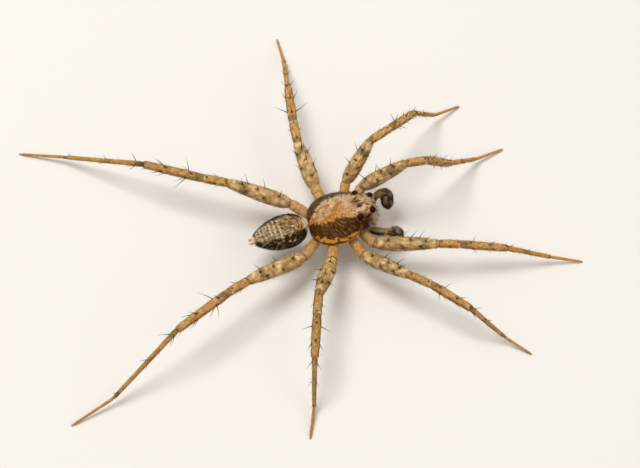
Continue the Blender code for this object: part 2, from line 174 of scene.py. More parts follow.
# Legs: pairs are numbered from the front.
HIPS = {
    1: (1.84, 1.92, 2.08),
    2: (1.03, 2.46, 1.95),
    3: (-0.79, 2.42, 2.02),
    4: (-2.38, 1.80, 1.84),
}
COXA_BEARINGS = {1: 33.0, 2: 68.0, 3: 106.0, 4: 144.0}
COXA_DROP = 0.16
TROCHANTER = 0.79  # share of the way from sternum to hip
LEG_LENGTHS = {  # femur, patella, tibia, metatarsus, tarsus
    1: (3.75, 1.30, 2.85, 2.85, 1.85),
    2: (3.20, 1.45, 2.70, 2.80, 1.85),
    3: (3.10, 1.40, 2.60, 3.15, 1.85),
    4: (3.95, 1.50, 3.80, 5.50, 2.80),
}
LEG_POSES = {  # bearings of the segments, rises of the first three, height of the ankle
    ("left", 1): ((-9, 2, 25, 26, 16), (46, -8, -53), 0.42),
    ("left", 2): ((34, 25, 39, 28, 21), (49, -2, -31), 0.71),
    ("left", 3): ((98, 89, 85, 84, 91), (8, 1, -9), 0.52),
    ("left", 4): ((157, 156, 150, 149, 158), (19, 0, -6), 0.57),
    ("right", 1): ((-15, -8, -11, -13, -13), (6, -10, -12), 0.58),
    ("right", 2): ((-43, -39, -44, -37, -41), (12, 2, -6), 0.58),
    ("right", 3): ((-118, -106, -105, -103, -109), (22, -2, -5), 0.42),
    ("right", 4): ((-159, -152, -153, -152, -160), (16, 13, -1), 0.59),
}
TIP_HEIGHT = 0.075  # of a tarsus's axis at its tip
LEG_GIRTHS = {1: 0.97, 2: 0.97, 3: 1.05, 4: 1.03}
LEG_RADII = (  # segment number from the coxa, with the share of its length, and the radius
    (0.00, 0.20), (0.40, 0.265), (0.88, 0.315), (0.97, 0.30), (1.00, 0.28), (1.10, 0.295),
    (1.50, 0.305), (1.90, 0.29), (2.00, 0.25), (2.04, 0.29), (2.12, 0.375), (2.28, 0.435),
    (2.50, 0.42), (2.75, 0.365), (2.92, 0.295), (2.985, 0.265), (3.00, 0.22), (3.03, 0.235),
    (3.25, 0.255), (3.75, 0.255), (3.97, 0.245), (4.00, 0.215), (4.03, 0.235), (4.25, 0.258),
    (4.60, 0.245), (4.90, 0.225), (4.98, 0.215), (5.00, 0.155), (5.03, 0.165), (5.15, 0.155),
    (5.55, 0.132), (5.95, 0.115), (6.00, 0.085), (6.03, 0.092), (6.50, 0.080), (6.90, 0.066),
    (7.00, 0.055),
)
LEG_BLOTCHES = (  # segment number with the share of it, half-length, depth, share on top
    (1.98, 0.04, 0.8, 1.0), (2.13, 0.04, 0.6, 0.3), (2.33, 0.07, 0.8, 0.7), (2.58, 0.05, 0.7, 0.4),
    (2.76, 0.06, 0.9, 0.9), (2.92, 0.02, 0.6, 0.5), (3.04, 0.05, 0.9, 0.8), (3.45, 0.08, 0.4, 0.3),
    (3.975, 0.02, 0.7, 1.0), (4.06, 0.07, 0.8, 0.9), (4.52, 0.10, 0.6, 0.15), (4.90, 0.03, 0.5, 0.5),
    (5.02, 0.035, 1.0, 1.0), (5.42, 0.045, 0.8, 0.9), (5.70, 0.03, 0.35, 0.6), (5.96, 0.03, 0.8, 1.0),
)
PAINTED_LEG_SHADE = {  # painted shade that darkens the right legs and the left hind leg: on the coxa and femur, and on the leg beyond them
    ("right", 1): (0.15, 0.0),
    ("right", 2): (0.13, 0.08),
    ("right", 3): (0.11, 0.24),
    ("right", 4): (0.10, 0.10),
    ("left", 4): (0.05, 0.10),
}
SPINES = (  # segment number with the share of it, turn round the leg, length, rise
    (2.22, 90, 0.85, 80), (2.57, 88, 0.92, 78), (2.81, 92, 0.85, 76), (2.44, 142, 0.55, 62),
    (2.72, 144, 0.60, 60), (2.44, 38, 0.55, 62), (2.72, 36, 0.60, 60), (3.12, 90, 0.30, 70),
    (3.86, 90, 0.62, 66), (3.50, 162, 0.36, 40), (4.20, 88, 0.85, 72), (4.62, 92, 0.88, 70),
    (4.27, 165, 0.85, 66), (4.68, 162, 0.62, 34), (4.32, 235, 0.62, 40), (4.62, 235, 0.60, 36),
    (4.94, 240, 0.42, 34), (5.08, 152, 0.58, 50), (5.12, 240, 0.50, 36), (5.48, 152, 0.42, 40),
    (5.52, 240, 0.36, 34), (5.94, 150, 0.26, 34),
)
SPINE_FACTORS = {1: 0.50, 2: 0.70, 3: 0.95, 4: 1.10}  # on the spines beyond the femur
SLANT = Vector((1, 0.37, 7.3))  # the faces of a spine are sorted along it, so that runs agree
LEG_SQUASH = 1.04
SEGMENT_SHARES = tuple(step / 76 + (1 - math.cos(math.pi * step / 38)) / 4 for step in range(38))

# Palps: joints from the root (trochanter, femur, patella, tibia), then the cymbium's tip.
PALP_JOINTS = {
    "left": (
        (1.70, 0.60, 1.72),
        (1.86, 0.84, 1.86),
        (2.52, 1.00, 2.36),
        (2.90, 1.17, 2.46),
        (3.24, 1.25, 2.22),
        (3.22, 0.62, 1.28),
    ),
    "right": (
        (1.70, -0.60, 1.72),
        (1.86, -0.86, 1.82),
        (2.54, -1.24, 1.98),
        (2.86, -1.20, 1.84),
        (3.14, -1.06, 1.52),
        (3.64, -0.92, 0.60),
    ),
}
PALP_RADII = (
    (0.00, 0.17), (0.90, 0.19), (1.00, 0.17), (1.10, 0.20), (1.60, 0.23), (1.95, 0.21),
    (2.00, 0.18), (2.12, 0.21), (2.90, 0.21), (3.00, 0.18), (3.10, 0.20), (3.90, 0.215),
    (4.00, 0.21), (4.10, 0.30), (4.30, 0.37), (4.60, 0.36), (4.82, 0.28), (4.95, 0.16),
    (5.00, 0.07),
)

LAMPS = {  # size and place in metres of each lamp, which faces the frame's origin
    "key": (0.12, (-0.06, 0.06, 0.24)),
    "fill": (0.20, (0.16, -0.12, 0.16)),
}
LENS = 209.0
CAMERA_AIM = (-0.922, 0.439, 0.0)

Surface = namedtuple("Surface", "shape marks lie rows columns")
Hair = namedtuple("Hair", "density length width lifts rings sides where paint")


# Numbers ----------------------------------------------------------------------------------


HASH_FACTORS = (73856093, 19349663, 83492791)  # one for each axis of the grain's cells
HASH_ROUNDS = ((15, 2246822519), (13, 3266489917))
HASH_MASK = 0xFFFFFFFF


def smooth(low, high, value):
    """0 at low, 1 at high and an even step between; low may be the larger."""
    share = np.clip((value - low) / (high - low), 0.0, 1.0)
    return share * share * (3.0 - 2.0 * share)


def peak(value, centre, width):
    """1 at the centre, falling off on both sides."""
    return np.exp(-(((value - centre) / width) ** 2))


def most(*masks):
    """The largest of several masks at each point."""
    return functools.reduce(np.maximum, masks)


def curve(at, knots, values):
    """A smooth curve through the knots that never overshoots them."""
    knots = np.asarray(knots, float)
    values = np.asarray(values, float)
    gaps = np.diff(knots)
    slopes = np.diff(values) / gaps
    product = slopes[:-1] * slopes[1:]
    total = slopes[:-1] + slopes[1:]
    inner = np.where(product > 0, 2 * product / np.where(total == 0, 1, total), 0.0)
    tangents = np.concatenate((slopes[:1], inner, slopes[-1:]))
    k = np.clip(np.searchsorted(knots, at, side="right") - 1, 0, len(gaps) - 1)
    t = np.clip((at - knots[k]) / gaps[k], 0.0, 1.0)
    start = (1 + 2 * t) * (1 - t) ** 2 * values[k] + t * (1 - t) ** 2 * gaps[k] * tangents[k]
    end = t**2 * (3 - 2 * t) * values[k + 1] - t**2 * (1 - t) * gaps[k] * tangents[k + 1]
    return start + end


def grain(points, size, seed=0):
    """Smooth noise from 0 to 1 in lumps of about this size."""
    place = points / size + 17.31 * (seed + 1)
    cell = np.floor(place).astype(np.int64)
    share = place - cell
    share = share * share * (3 - 2 * share)
    total = np.zeros(len(points))
    for corner in itertools.product((0, 1), repeat=3):
        x, y, z = ((cell + corner) * HASH_FACTORS).T
        number = (x ^ y ^ z) & HASH_MASK
        for shift, factor in HASH_ROUNDS:
            number = ((number ^ number >> shift) * factor) & HASH_MASK
        weight = np.prod(np.where(np.array(corner) == 1, share, 1 - share), axis=1)
        total += weight * (number ^ number >> 16) / 2**32
    return total


def unit(vectors):
    return vectors / np.linalg.norm(vectors, axis=-1, keepdims=True)


def rotation(degrees, axis):
    return np.array(Matrix.Rotation(math.radians(degrees), 3, axis))


def bearing_vector(bearing, rise):
    """Unit vector at a bearing from straight ahead and a rise over the horizontal."""
    bearing, rise = math.radians(bearing), math.radians(rise)
    level = math.cos(rise)
    return np.array((level * math.cos(bearing), level * math.sin(bearing), math.sin(rise)))


def body_origin():
    """The middle of the sternum, on the floor, in millimetres of the frame."""
    low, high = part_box("sternum")
    return Vector(((low.x + high.x) / 2, (low.y + high.y) / 2, 0)) / MM


ORIGIN = body_origin()


# Limbs ------------------------------------------------------------------------------------


def limb_axis(joints, place):
    """Centres and directions along a limb, at segment numbers with the share of each."""
    joints = np.asarray(joints, float)
    axes = unit(np.diff(joints, axis=0))
    lengths = np.linalg.norm(np.diff(joints, axis=0), axis=1)
    k = np.clip(place.astype(int), 0, len(axes) - 1)
    distance = (place - k) * lengths[k]
    centres = joints[k] + axes[k] * distance[:, None]
    directions = axes[k].copy()
    for number in range(1, len(axes)):
        reach = 0.35 * min(lengths[number - 1], lengths[number], 0.8)
        along = np.where(k >= number, distance, distance - lengths[k])
        near = (np.abs(along) < reach) & ((k == number) | (k == number - 1))
        w = ((along[near] + reach) / (2 * reach))[:, None]
        before, after = axes[number - 1], axes[number]
        corner = joints[number]
        centres[near] = corner - before * reach * (1 - w) ** 2 + after * reach * w**2
        directions[near] = unit(before * (1 - w) + after * w)
    return centres, directions


def limb_shape(joints, radii, places, squash=1.0, closing=0.05):
    """The formula of a round limb: radii are given at segment numbers."""
    knots, sizes = np.array(radii).T
    last = len(joints) - 1

    def shape(u, v):
        place = limb_place(u, places)
        centre, along = limb_axis(joints, place)
        side = unit(np.cross(Z, along))
        over = np.cross(along, side)
        radius = curve(place, knots, sizes)
        radius = radius * np.sqrt(np.clip(place / closing, 0, 1))
        radius = radius * np.sqrt(np.clip((last - place) / closing, 0, 1))
        angle = 2 * math.pi * v
        across = side * (radius * np.cos(angle))[:, None]
        upward = over * (radius * np.sin(angle) * squash)[:, None]
        return centre + across + upward

    return shape


def limb_places(count, shares=SEGMENT_SHARES):
    """Places of a limb's rings: close together at the joints and ends."""
    places = [number + share for number in range(count) for share in shares]
    return np.array(places + [count - 0.004, count])


def limb_place(u, places):
    """Segment numbers, with the share of each, from shares of the limb's rings."""
    return np.interp(u, np.linspace(0, 1, len(places)), places)


LEG_PLACES = limb_places(7)
PALP_PLACES = limb_places(5)


def leg_joints(label, pair):
    """The joints of a leg, from the sternum to the tip of its tarsus."""
    side = dict(SIDES)[label]
    bearings, rises, ankle = LEG_POSES[label, pair]
    lengths = LEG_LENGTHS[pair]
    x, y, z = HIPS[pair]
    angle = math.radians(COXA_BEARINGS[pair])
    root = np.array((STERNUM_HALF[0] * math.cos(angle), side * STERNUM_HALF[1] * math.sin(angle), 0))
    root[2] = z - COXA_DROP
    hip = np.array((x, side * y, z))
    joints = [root + (hip - root) * 0.03, root + (hip - root) * TROCHANTER, hip]
    for bearing, rise, length in zip(bearings, rises, lengths):
        joints.append(joints[-1] + bearing_vector(bearing, rise) * length)
    for bearing, height, length in zip(bearings[3:], (ankle, TIP_HEIGHT), lengths[3:]):
        rise = math.degrees(math.asin((height - joints[-1][2]) / length))
        joints.append(joints[-1] + bearing_vector(bearing, rise) * length)
    return joints


def spine_list():
    """Every spine of a leg: beyond the femur, those off its top line come in mirrored pairs."""
    for place, turn, length, rise in SPINES:
        yield place, turn, length, rise
        if place > 3 and abs(turn - 90) > 5:
            yield place, (180 - turn) % 360, length, rise


def spine_spots(place, turn):
    """Dark spots round the feet of the spines, down to the ankle."""
    dark = np.zeros(len(place))
    for spine, bearing, _, _ in spine_list():
        if spine < 5:
            aside = (turn - bearing + 180) % 360 - 180
            near = np.hypot((place - spine) / 0.026, aside / 15)
            dark = np.maximum(dark, smooth(1.6, 0.9, near))
    return dark


def leg_blotches(place, top, blotch, fine):
    """Dark rings and blotches with wavy edges."""
    warped = place + 0.16 * (blotch - 0.5) * (place > 2) + 0.05 * (fine - 0.5)
    dark = np.zeros(len(place))
    for centre, half, depth, over in LEG_BLOTCHES:
        near = smooth(2.0 * half, 0.6 * half, np.abs(warped - centre))
        dark = np.maximum(dark, depth * near * (1 - top * (1 - over)))
    return dark


def leg_marks(painted_shade, seed):
    """Olive blotches on a pale femur, brown and lined beyond the knee."""

    def marks(u, v, points):
        place = limb_place(u, LEG_PLACES)
        across, over = np.cos(2 * math.pi * v), np.sin(2 * math.pi * v)
        below = smooth(-0.35, -0.8, over)
        blotch = grain(points, 0.26, seed)
        fine = grain(points, 0.085, seed + 1)
        torn = smooth(0.28, 0.5, grain(points, 0.15, seed + 2))
        broken = smooth(0.25, 0.5, grain(points, 0.2, seed + 3))
        patches = smooth(0.5, 0.7, grain(points, 0.2, seed + 4))
        streaks = smooth(0.50, 0.66, grain(points, 0.19, seed + 6))
        beyond = smooth(2.97, 3.03, place)
        lined = beyond * smooth(5.0, 4.95, place)
        femur = smooth(1.98, 2.04, place) * (1 - beyond)
        lines = np.maximum(peak(np.abs(across), 0.86, 0.09), 0.6 * peak(across, 0.1, 0.07))
        dark = leg_blotches(place, smooth(-0.1, 0.9, over), blotch, fine)
        dark = dark * (1 - 0.6 * below) * (0.7 + 0.3 * smooth(0.3, 0.5, fine)) * (0.55 + 0.45 * torn)
        dark = most(
            dark,
            0.75 * lines * lined * broken,
            0.6 * peak(np.abs(across), 0.95, 0.05) * femur,
            0.35 * smooth(0.66, 0.76, fine) * (femur + beyond),
            0.60 * streaks * femur * (1 - below),
            0.95 * spine_spots(place, v * 360),
            (0.08 + 0.12 * smooth(0.4, 0.65, fine)) * (place < 2),
        )
        # Painted shade: the whole leg is darkened, most on the legs of the right side, nearest the camera
        dark = dark + np.where(beyond > 0.5, painted_shade[1], painted_shade[0]) * (1 - dark)
        warm = most(
            beyond * (0.75 + 0.25 * smooth(0.3, 0.6, blotch)) * (1 - 0.45 * below),
            0.9 * peak(place, 2.975, 0.02),
            0.9 * smooth(2.02, 1.96, place),
        )
        pale = most(
            0.4 * femur * patches,
            0.5 * peak(place, 3.92, 0.03) + 0.5 * peak(place, 2.93, 0.02),
            0.25 * smooth(2.0, 1.9, place) * smooth(0.4, 0.65, fine),
            0.35 * lined * smooth(0.55, 0.75, fine),
        )
        return np.stack((dark, pale * (1 - dark), warm), axis=1)

    return marks


def along_lie(along, around, normal, points):
    """Hair that lies towards the end of the limb."""
    return along


def leg_surface(label, pair):
    girth = LEG_GIRTHS[pair]
    radii = [(place, radius * (girth if place < 5 else 1.0)) for place, radius in LEG_RADII]
    shape = limb_shape(leg_joints(label, pair), radii, LEG_PLACES, LEG_SQUASH)
    marks = leg_marks(PAINTED_LEG_SHADE.get((label, pair), (0, 0)), pair * 10 + (label == "left") * 5)
    return Surface(shape, marks, along_lie, len(LEG_PLACES) - 1, 36)


def palp_marks(label):
    """Pale roots, a dark femur and cymbium with a painted highlight on its top, and on the right a tan
    middle.
    """
    patella = 0.75 if label == "right" else 0.25

    def marks(u, v, points):
        place = limb_place(u, PALP_PLACES)
        top = (np.sin(2 * math.pi * v) + 1) / 2
        fine = grain(points, 0.08, 23)
        blotch = grain(points, 0.22, 25)
        arm = smooth(0.85, 1.1, place)
        stripe = arm * smooth(0.86, 0.96, top) * smooth(2.1, 1.95, place)
        middle = smooth(2.0, 2.08, place) * smooth(3.6, 3.3, place)
        # Painted highlight: a paler, blotchy patch on top of the cymbium
        painted_highlight = smooth(3.9, 4.05, place) * smooth(0.65, 0.9, top) * smooth(0.35, 0.6, blotch)
        dark = 0.97 * arm - 0.4 * stripe * smooth(0.3, 0.6, fine)
        dark = dark - patella * middle * smooth(0.35, 0.55, blotch) - 0.14 * painted_highlight
        dark = np.maximum(dark, 0.95 * arm * peak(place, 2.0, 0.05))
        dark = np.clip(dark * (0.85 + 0.15 * smooth(0.35, 0.6, fine)), 0, 1)
        pale = np.where(place < 1, 0.5, 0.3 * stripe + 0.3 * painted_highlight)
        return np.stack((dark, pale, 0.8 * np.maximum(middle, place < 1)), axis=1)

    return marks


def palp_surface(label):
    shape = limb_shape(PALP_JOINTS[label], PALP_RADII, PALP_PLACES)
    return Surface(shape, palp_marks(label), along_lie, len(PALP_PLACES) - 1, 32)


# Shield -----------------------------------------------------------------------------------


def shield_place(points):
    """From the shield's own frame to the body's."""
    return points @ rotation(-SHIELD_TILT, "Y").T + (0, 0, SHIELD_HEIGHT)


def shield_local(points):
    """From the body's frame to the shield's own."""
    return (points - (0, 0, SHIELD_HEIGHT)) @ rotation(-SHIELD_TILT, "Y")


def eye_list():
    """Every eye's centre and radius in the shield's frame."""
    for (x, y, z), radius in EYES.values():
        for _, side in SIDES:
            yield np.array((x, side * y, z)), radius


def eye_distance(points):
    """How far each point lies outside the nearest large eye's ball."""
    reach = np.full(len(points), 9.0)
    for centre, radius in eye_list():
        if radius > 0.1:
            reach = np.minimum(reach, np.linalg.norm(points - centre, axis=1) - radius)
    return reach


def shield_relief(x, y, z):
    """Furrows that run out from the groove on the back, and the groove itself."""
    middle, half = FOVEA
    groove = 0.07 * peak(y, 0, 0.035) * smooth(half + 0.1, half - 0.06, np.abs(x - middle))
    bearing = np.degrees(np.arctan2(np.abs(y), x - middle))
    distance = np.hypot(y, x - middle)
    furrows = np.zeros(len(x))
    for spoke, width, depth in FURROWS:
        furrows = np.maximum(furrows, depth * peak(bearing, spoke, width))
    furrows = furrows * smooth(0.15, 0.55, distance) * smooth(0.15, 0.4, z)
    hollow = 0.05 * peak(x, middle, 0.45) * peak(y, 0, 0.35)
    return groove + furrows + hollow


def shield_shape():
    table = np.array(SHIELD)
    steps = np.hypot(np.diff(table[:, 0]), np.diff(table[:, 2]))
    stations = np.concatenate(([0], np.cumsum(steps)))
    end = stations[-1]
    neck = np.interp(0.9, table[:, 0], stations)

    def shape(u, v):
        station = curve(u, (0.0, 0.42, 1.0), (-0.001 * end, neck, 1.001 * end))
        x, width, height, power = (curve(station, stations, table[:, i]) for i in range(4))
        open_end = (u > 1e-6) & (u < 1 - 1e-6)
        width = (width - SHIELD_INSET) * open_end
        height = (height - SHIELD_INSET) * open_end
        x = np.clip(x, table[0, 0] + SHIELD_INSET, table[-1, 0] - SHIELD_INSET)
        top = v <= SHIELD_TOP
        angle = np.where(top, v / SHIELD_TOP, 1 + (v - SHIELD_TOP) / (1 - SHIELD_TOP)) * math.pi
        across, over = np.cos(angle), np.sin(angle)
        reach = (np.abs(across) ** power + np.abs(over) ** power) ** (-1 / power)
        y = width * across * reach
        z = np.where(top, height * over * reach, 0.10 * over * open_end)
        z = z - np.where(top, shield_relief(x, y, z) * open_end, 0)
        points = np.stack((x, y, z), axis=1)
        outward = unit(points - np.stack((0.8 * x, 0 * x, 0.2 + 0 * x), axis=1))
        rim = 0.012 * peak(eye_distance(points), 0.04, 0.03) * open_end * top
        return shield_place(points + outward * rim[:, None])

    return shape


def middle_half(x, y):
    """Distance of the dark sides from the middle line."""
    return np.where(y > 0, curve(x, *MIDDLE_HALF[1]), curve(x, *MIDDLE_HALF[-1]))


def head_masks(local, streak, blotch, fine):
    """The hairy top of the head, its low sides, and the dark on those: streaks of their hair and a
    painted shadow below the eyes.
    """
    x, y, z = local.T
    crown = np.where(y > 0, 1, smooth(0.72, 0.62, np.abs(y) + 0.1 * (fine - 0.5)))
    head = smooth(0.85, 1.25, x + 0.25 * (blotch - 0.5)) * (z > 0.75) * crown
    low = smooth(1.15, 1.4, x) * np.maximum(smooth(0.85, 0.75, z), 1 - crown)
    # Dark streaks of hair, and painted shadow over the low sides of the head below the eyes
    streaks_and_painted_shadow = np.maximum(smooth(0.40, 0.48, streak), smooth(1.85, 1.55, x)) * smooth(2.05, 1.85, x)
    return head, low, streaks_and_painted_shadow


def eye_marks(local):
    """Dark rings round the large eyes, and a dark band between those of one side."""
    x, y, z = local.T
    between = peak(z, 0.93, 0.13) * smooth(1.25, 1.4, x) * smooth(2.15, 2.05, x)
    return most(smooth(0.10, 0.06, eye_distance(local)), between * smooth(0.55, 0.72, np.abs(y)))


def shield_marks(u, v, points):
    """A bare orange-brown middle, dark rayed sides, an orange belt and a dark margin."""
    local = shield_local(points)
    x, y, z = local.T
    top = v <= SHIELD_TOP
    left = y > 0
    bearing = np.arctan2(np.abs(y), x - FOVEA[0])
    blotch = grain(points, 0.22, 3)
    fine = grain(points, 0.06, 4)
    streak = grain(local * (0.30, 1, 1), 0.055, 9)
    scallop = np.abs(np.sin(bearing * 7.5 + 1.5 * blotch))
    half = middle_half(x, y)
    middle = smooth(half + 0.04, half - 0.04, np.abs(y) + 0.16 * (scallop - 0.6) + 0.08 * (fine - 0.5))
    belt_top = curve(x, *BELT_TOP)
    ragged = 0.14 * (scallop - 0.5) + 0.14 * (fine - 0.5)
    belt = smooth(belt_top + 0.03, belt_top - 0.03, z + ragged) * (x < 1.75)
    belt = belt * np.where(left, 0.35 * smooth(0.34, 0.24, z), 1)
    rays = np.sin(bearing * 52 + 3 * blotch + 2 * fine) * 0.5 + 0.5
    rays = smooth(0.30, 0.80, rays) * smooth(1.25, 0.8, x) * smooth(-1.45, -1.1, x)
    rays = rays * smooth(0.3, 0.55, grain(points * (1, 1, 2), 0.14, 5)) * np.where(left, 0.25, 1)
    spots = grain(points * (1, 1, 1.6), 0.17, 6) + 0.55 * peak(z, 0.13, 0.07)
    groove = smooth(FOVEA[1] + 0.05, FOVEA[1] - 0.05, np.abs(x - FOVEA[0]))
    veins = smooth(0.85, 1.0, np.sin(bearing * 21 + 4 * blotch) * 0.5 + 0.5)
    veins = np.maximum(veins, smooth(0.66, 0.78, fine) * (x < 0.9))
    head, low, streaks_and_painted_shadow = head_masks(local, streak, blotch, fine)
    dark = (1 - middle) * (1 - belt)
    dark = dark * (0.90 + 0.10 * smooth(0.3, 0.6, fine)) * (1 - 0.24 * rays)
    dark = most(
        dark * (1 - head) * (1 - low),
        0.9 * belt * smooth(0.60, 0.85, spots),
        peak(y, 0, 0.035) * groove,
        eye_marks(local),
        0.4 * middle * veins,
        0.80 * head * smooth(0.61, 0.67, streak),
        # painted shadow and dark hair streaks on the low sides of the head
        0.84 * low * streaks_and_painted_shadow,
        0.95 * peak(z, 0.055, 0.022) * (x < 2.1),
    )
    pale = most(
        middle * (1 - head) * smooth(0.55, 0.75, blotch) * np.where(left, 0.3, 0.0),
        0.9 * head * smooth(0.60, 0.50, streak),
        0.85 * low * (1 - streaks_and_painted_shadow),
        0.5 * smooth(0.035, 0.015, z),
    )
    warm = most(belt, 0.25 * middle * smooth(0.3, 0.7, fine), 0.8 * rays * (1 - belt))
    dark = np.where(top, dark, 0.2)
    pale = np.where(top, pale, 0.2) * (1 - dark)
    return np.stack((dark, pale, warm * top), axis=1)


def shield_lie(along, around, normal, points):
    """Hair that points away from the whorl on the middle line."""
    return unit(points - shield_place(np.array([WHORL])))


def shield_surface():
    return Surface(shield_shape(), shield_marks, shield_lie, 250, 210)


# Abdomen and waist ------------------------------------------------------------------------


ABDOMEN_TURN = rotation(ABDOMEN_YAW, "Z") @ rotation(ABDOMEN_PITCH, "Y")


def abdomen_place(points):
    """From the abdomen's own frame, which runs back along -X from its front, to the body's."""
    return points @ ABDOMEN_TURN.T + ABDOMEN_FRONT


def abdomen_local(points):
    """From the body's frame to the abdomen's own."""
    return (points - ABDOMEN_FRONT) @ ABDOMEN_TURN


def abdomen_shape():
    back, width, top, bottom = np.array(ABDOMEN).T

    def shape(u, v):
        place = back[-1] * (1 - np.cos(math.pi * u)) / 2
        closing = np.sqrt(np.clip(place / 0.03, 0, 1)) * np.sqrt(np.clip((back[-1] - place) / 0.03, 0, 1))
        upper = curve(place, back, top)
        lower = curve(place, back, bottom)
        angle = 2 * math.pi * v
        folds = 0.010 * np.sin(place * 2 * math.pi / 0.27) * smooth(0.9, 1.5, place)
        half = (curve(place, back, width) - ABDOMEN_INSET) * closing
        height = ((upper - lower) / 2 - ABDOMEN_INSET + folds * (np.sin(angle) > -0.5)) * closing
        z = (upper + lower) / 2 + height * np.sin(angle)
        points = np.stack((-place, -half * np.cos(angle), z), axis=1)
        bristle = 0.02 * (grain(points, 0.3, 21) - 0.5) * closing
        return abdomen_place(points + unit(points * (0, 1, 1) + 1e-9) * bristle[:, None])

    return shape


def back_spots(place, turn, fine):
    """Dark spots with ragged edges."""
    dark = np.zeros(len(place))
    for spot, angle, length, width in SPOTS:
        aside = np.radians(turn - angle) * ABDOMEN_GIRTH
        near = ((place - spot) / length) ** 2 + (aside / width) ** 2
        dark = np.maximum(dark, 0.95 * smooth(1.7, 0.9, near + 1.0 * (fine - 0.5)))
    return dark


def back_bars(place, turn, blotch):
    """Curved white bars over the tail."""
    pale = np.zeros(len(place))
    for bar in BARS:
        ahead = np.abs(place - bar + 0.0010 * turn + 0.05 * (blotch - 0.5))
        pale = np.maximum(pale, smooth(0.060, 0.035, ahead) * smooth(50, 42, turn))
    return pale


def flank_flecks(place, y, turn, fine):
    """White flecks of several sizes, a little out of step on the two sides."""
    pale = np.zeros(len(place))
    for number, (fleck, angle) in enumerate(FLECKS):
        shift = 0.05 * math.sin(5 * number) * np.sign(y)
        aside = np.radians(turn - angle) * ABDOMEN_GIRTH
        near = np.hypot(0.7 * (place - fleck - shift), aside) + 0.08 * (fine - 0.5)
        size = 0.043 + 0.015 * math.sin(7 * number)
        pale = np.maximum(pale, 0.85 * smooth(size, 0.4 * size, near))
    return pale


def abdomen_marks(u, v, points):
    """An olive-tan back with dark spots and white bars, black flanks with white flecks."""
    x, y, z = abdomen_local(points).T
    place = -x
    table = np.array(ABDOMEN)
    centre = curve(place, table[:, 0], table[:, 2:].mean(axis=1))
    turn = np.degrees(np.arctan2(np.abs(y), z - centre))
    blotch = grain(points, 0.15, 11)
    fine = grain(points, 0.065, 12)
    wave = 3 * np.sin(place * 2 * math.pi / 0.40 + y) + 14 * (blotch - 0.5) + 8 * (fine - 0.5)
    limit = curve(place, *FLANK_TURN)
    flank = smooth(limit - 2, limit + 2, turn + wave)
    back = 1 - flank
    below = smooth(120, 140, turn)
    pale = most(
        back_bars(place, turn, blotch) * smooth(0.32, 0.44, grain(points, 0.09, 13)),
        flank_flecks(place, y, turn, fine),
        0.5 * back * smooth(0.62, 0.74, grain(points, 0.08, 15)),
        smooth(0.22, 0.08, place) * smooth(44, 30, turn),
        0.5 * below * smooth(0.3, 0.7, blotch),
    )
    dark = most(
        flank * (0.92 + 0.08 * fine),
        0.75 * back * smooth(0.52, 0.64, fine),
        back_spots(place, turn, fine),
    )
    dark = dark * (1 - 0.97 * pale) * (1 - 0.35 * below)
    warm = most(
        0.7 * back * peak(turn, limit - 6, 9) * smooth(1.2, 0.5, place),
        0.35 * back * smooth(0.5, 0.7, blotch),
    )
    return np.stack((dark, pale, warm), axis=1)


def abdomen_surface():
    return Surface(abdomen_shape(), abdomen_marks, along_lie, 170, 150)


def tube_surface(joints, radii, mark, columns=20, squash=1.0):
    """A plain limb of one mark all over, such as a fang or a finger of the spinnerets."""
    count = len(joints) - 1
    places = limb_places(count, np.linspace(0, 1, 9)[:-1])
    shape = limb_shape(joints, radii, places, squash, closing=0.2)

    def marks(u, v, points):
        return np.tile(np.array(mark, float), (len(u), 1))

    return Surface(shape, marks, along_lie, len(places) - 1, columns)


def spinneret_surfaces():
    """A short base and three pairs of fingers at the tail."""
    tail = np.array((-ABDOMEN[-1][0], 0, (ABDOMEN[-1][2] + ABDOMEN[-1][3]) / 2))
    base = abdomen_place(np.array((tail + (0.06, 0, 0), tail - (0.20, 0, 0))))
    surfaces = [tube_surface(base, ((0, 0.24), (0.6, 0.21), (1, 0.15)), (0.15, 0.3, 0.5), 28)]
    for y, z, reach, radius in SPINNERETS:
        root = tail + (-0.05, y, z)
        middle = root + (-0.55 * reach, 0.12 * y, 0.05 * z)
        tip = middle + (-0.45 * reach, 0.25 * y, 0.1 * z)
        joints = abdomen_place(np.array((root, middle, tip)))
        radii = [(at, share * radius) for at, share in FINGER]
        surfaces.append(tube_surface(joints, radii, (0.1, 0.35, 0.6), 16))
    return surfaces


def waist_surface():
    return tube_surface(np.array(WAIST), ((0, 0.14), (1, 0.12), (2, 0.16)), (0.4, 0.1, 0.6))


# Underside and mouth ----------------------------------------------------------------------


def sternum_surface():
    """A shield-shaped plate with a low crown, closed over the top."""
    length, width = STERNUM_HALF
    stations, heights, reaches = np.array(STERNUM).T

    def shape(u, v):
        share = curve(u, stations, reaches)
        angle = 2 * math.pi * v
        x = share * length * np.cos(angle) * (1 - 0.05 * np.cos(angle))
        y = share * width * np.sin(angle) * (1 + 0.10 * np.cos(angle))
        scallop = 1 - 0.05 * peak(u, 0.45, 0.12) * np.cos(7 * angle)
        return np.stack((x * scallop, -y * scallop, curve(u, stations, heights)), axis=1)

    def marks(u, v, points):
        x, y, _ = points.T
        streak = peak(y, 0, 0.07) * smooth(-0.6, 0.2, x)
        edge = smooth(0.75, 0.95, np.hypot(x / length, y / width))
        mottle = smooth(0.5, 0.7, grain(points, 0.12, 31))
        dark = np.clip(0.75 - 0.75 * streak + 0.2 * edge - 0.3 * mottle, 0, 1)
        return np.stack((dark, 0.3 * streak, 0.2 + 0 * x), axis=1)

    return Surface(shape, marks, along_lie, 60, 72)


def mouth_surfaces():
    """The two maxillae, and the labium between them."""
    surfaces = []
    for side in (-1, 1):
        radii = ((0, 0.12), (1, 0.17), (1.6, 0.15), (2, 0.09))
        joints = np.array(MAXILLA) * (1, side, 1)
        surfaces.append(tube_surface(joints, radii, (0.45, 0.25, 0.5), 24, 1.15))
    radii = ((0, 0.14), (1, 0.15), (2, 0.08))
    surfaces.append(tube_surface(np.array(LABIUM), radii, (0.7, 0.1, 0.3)))
    return surfaces


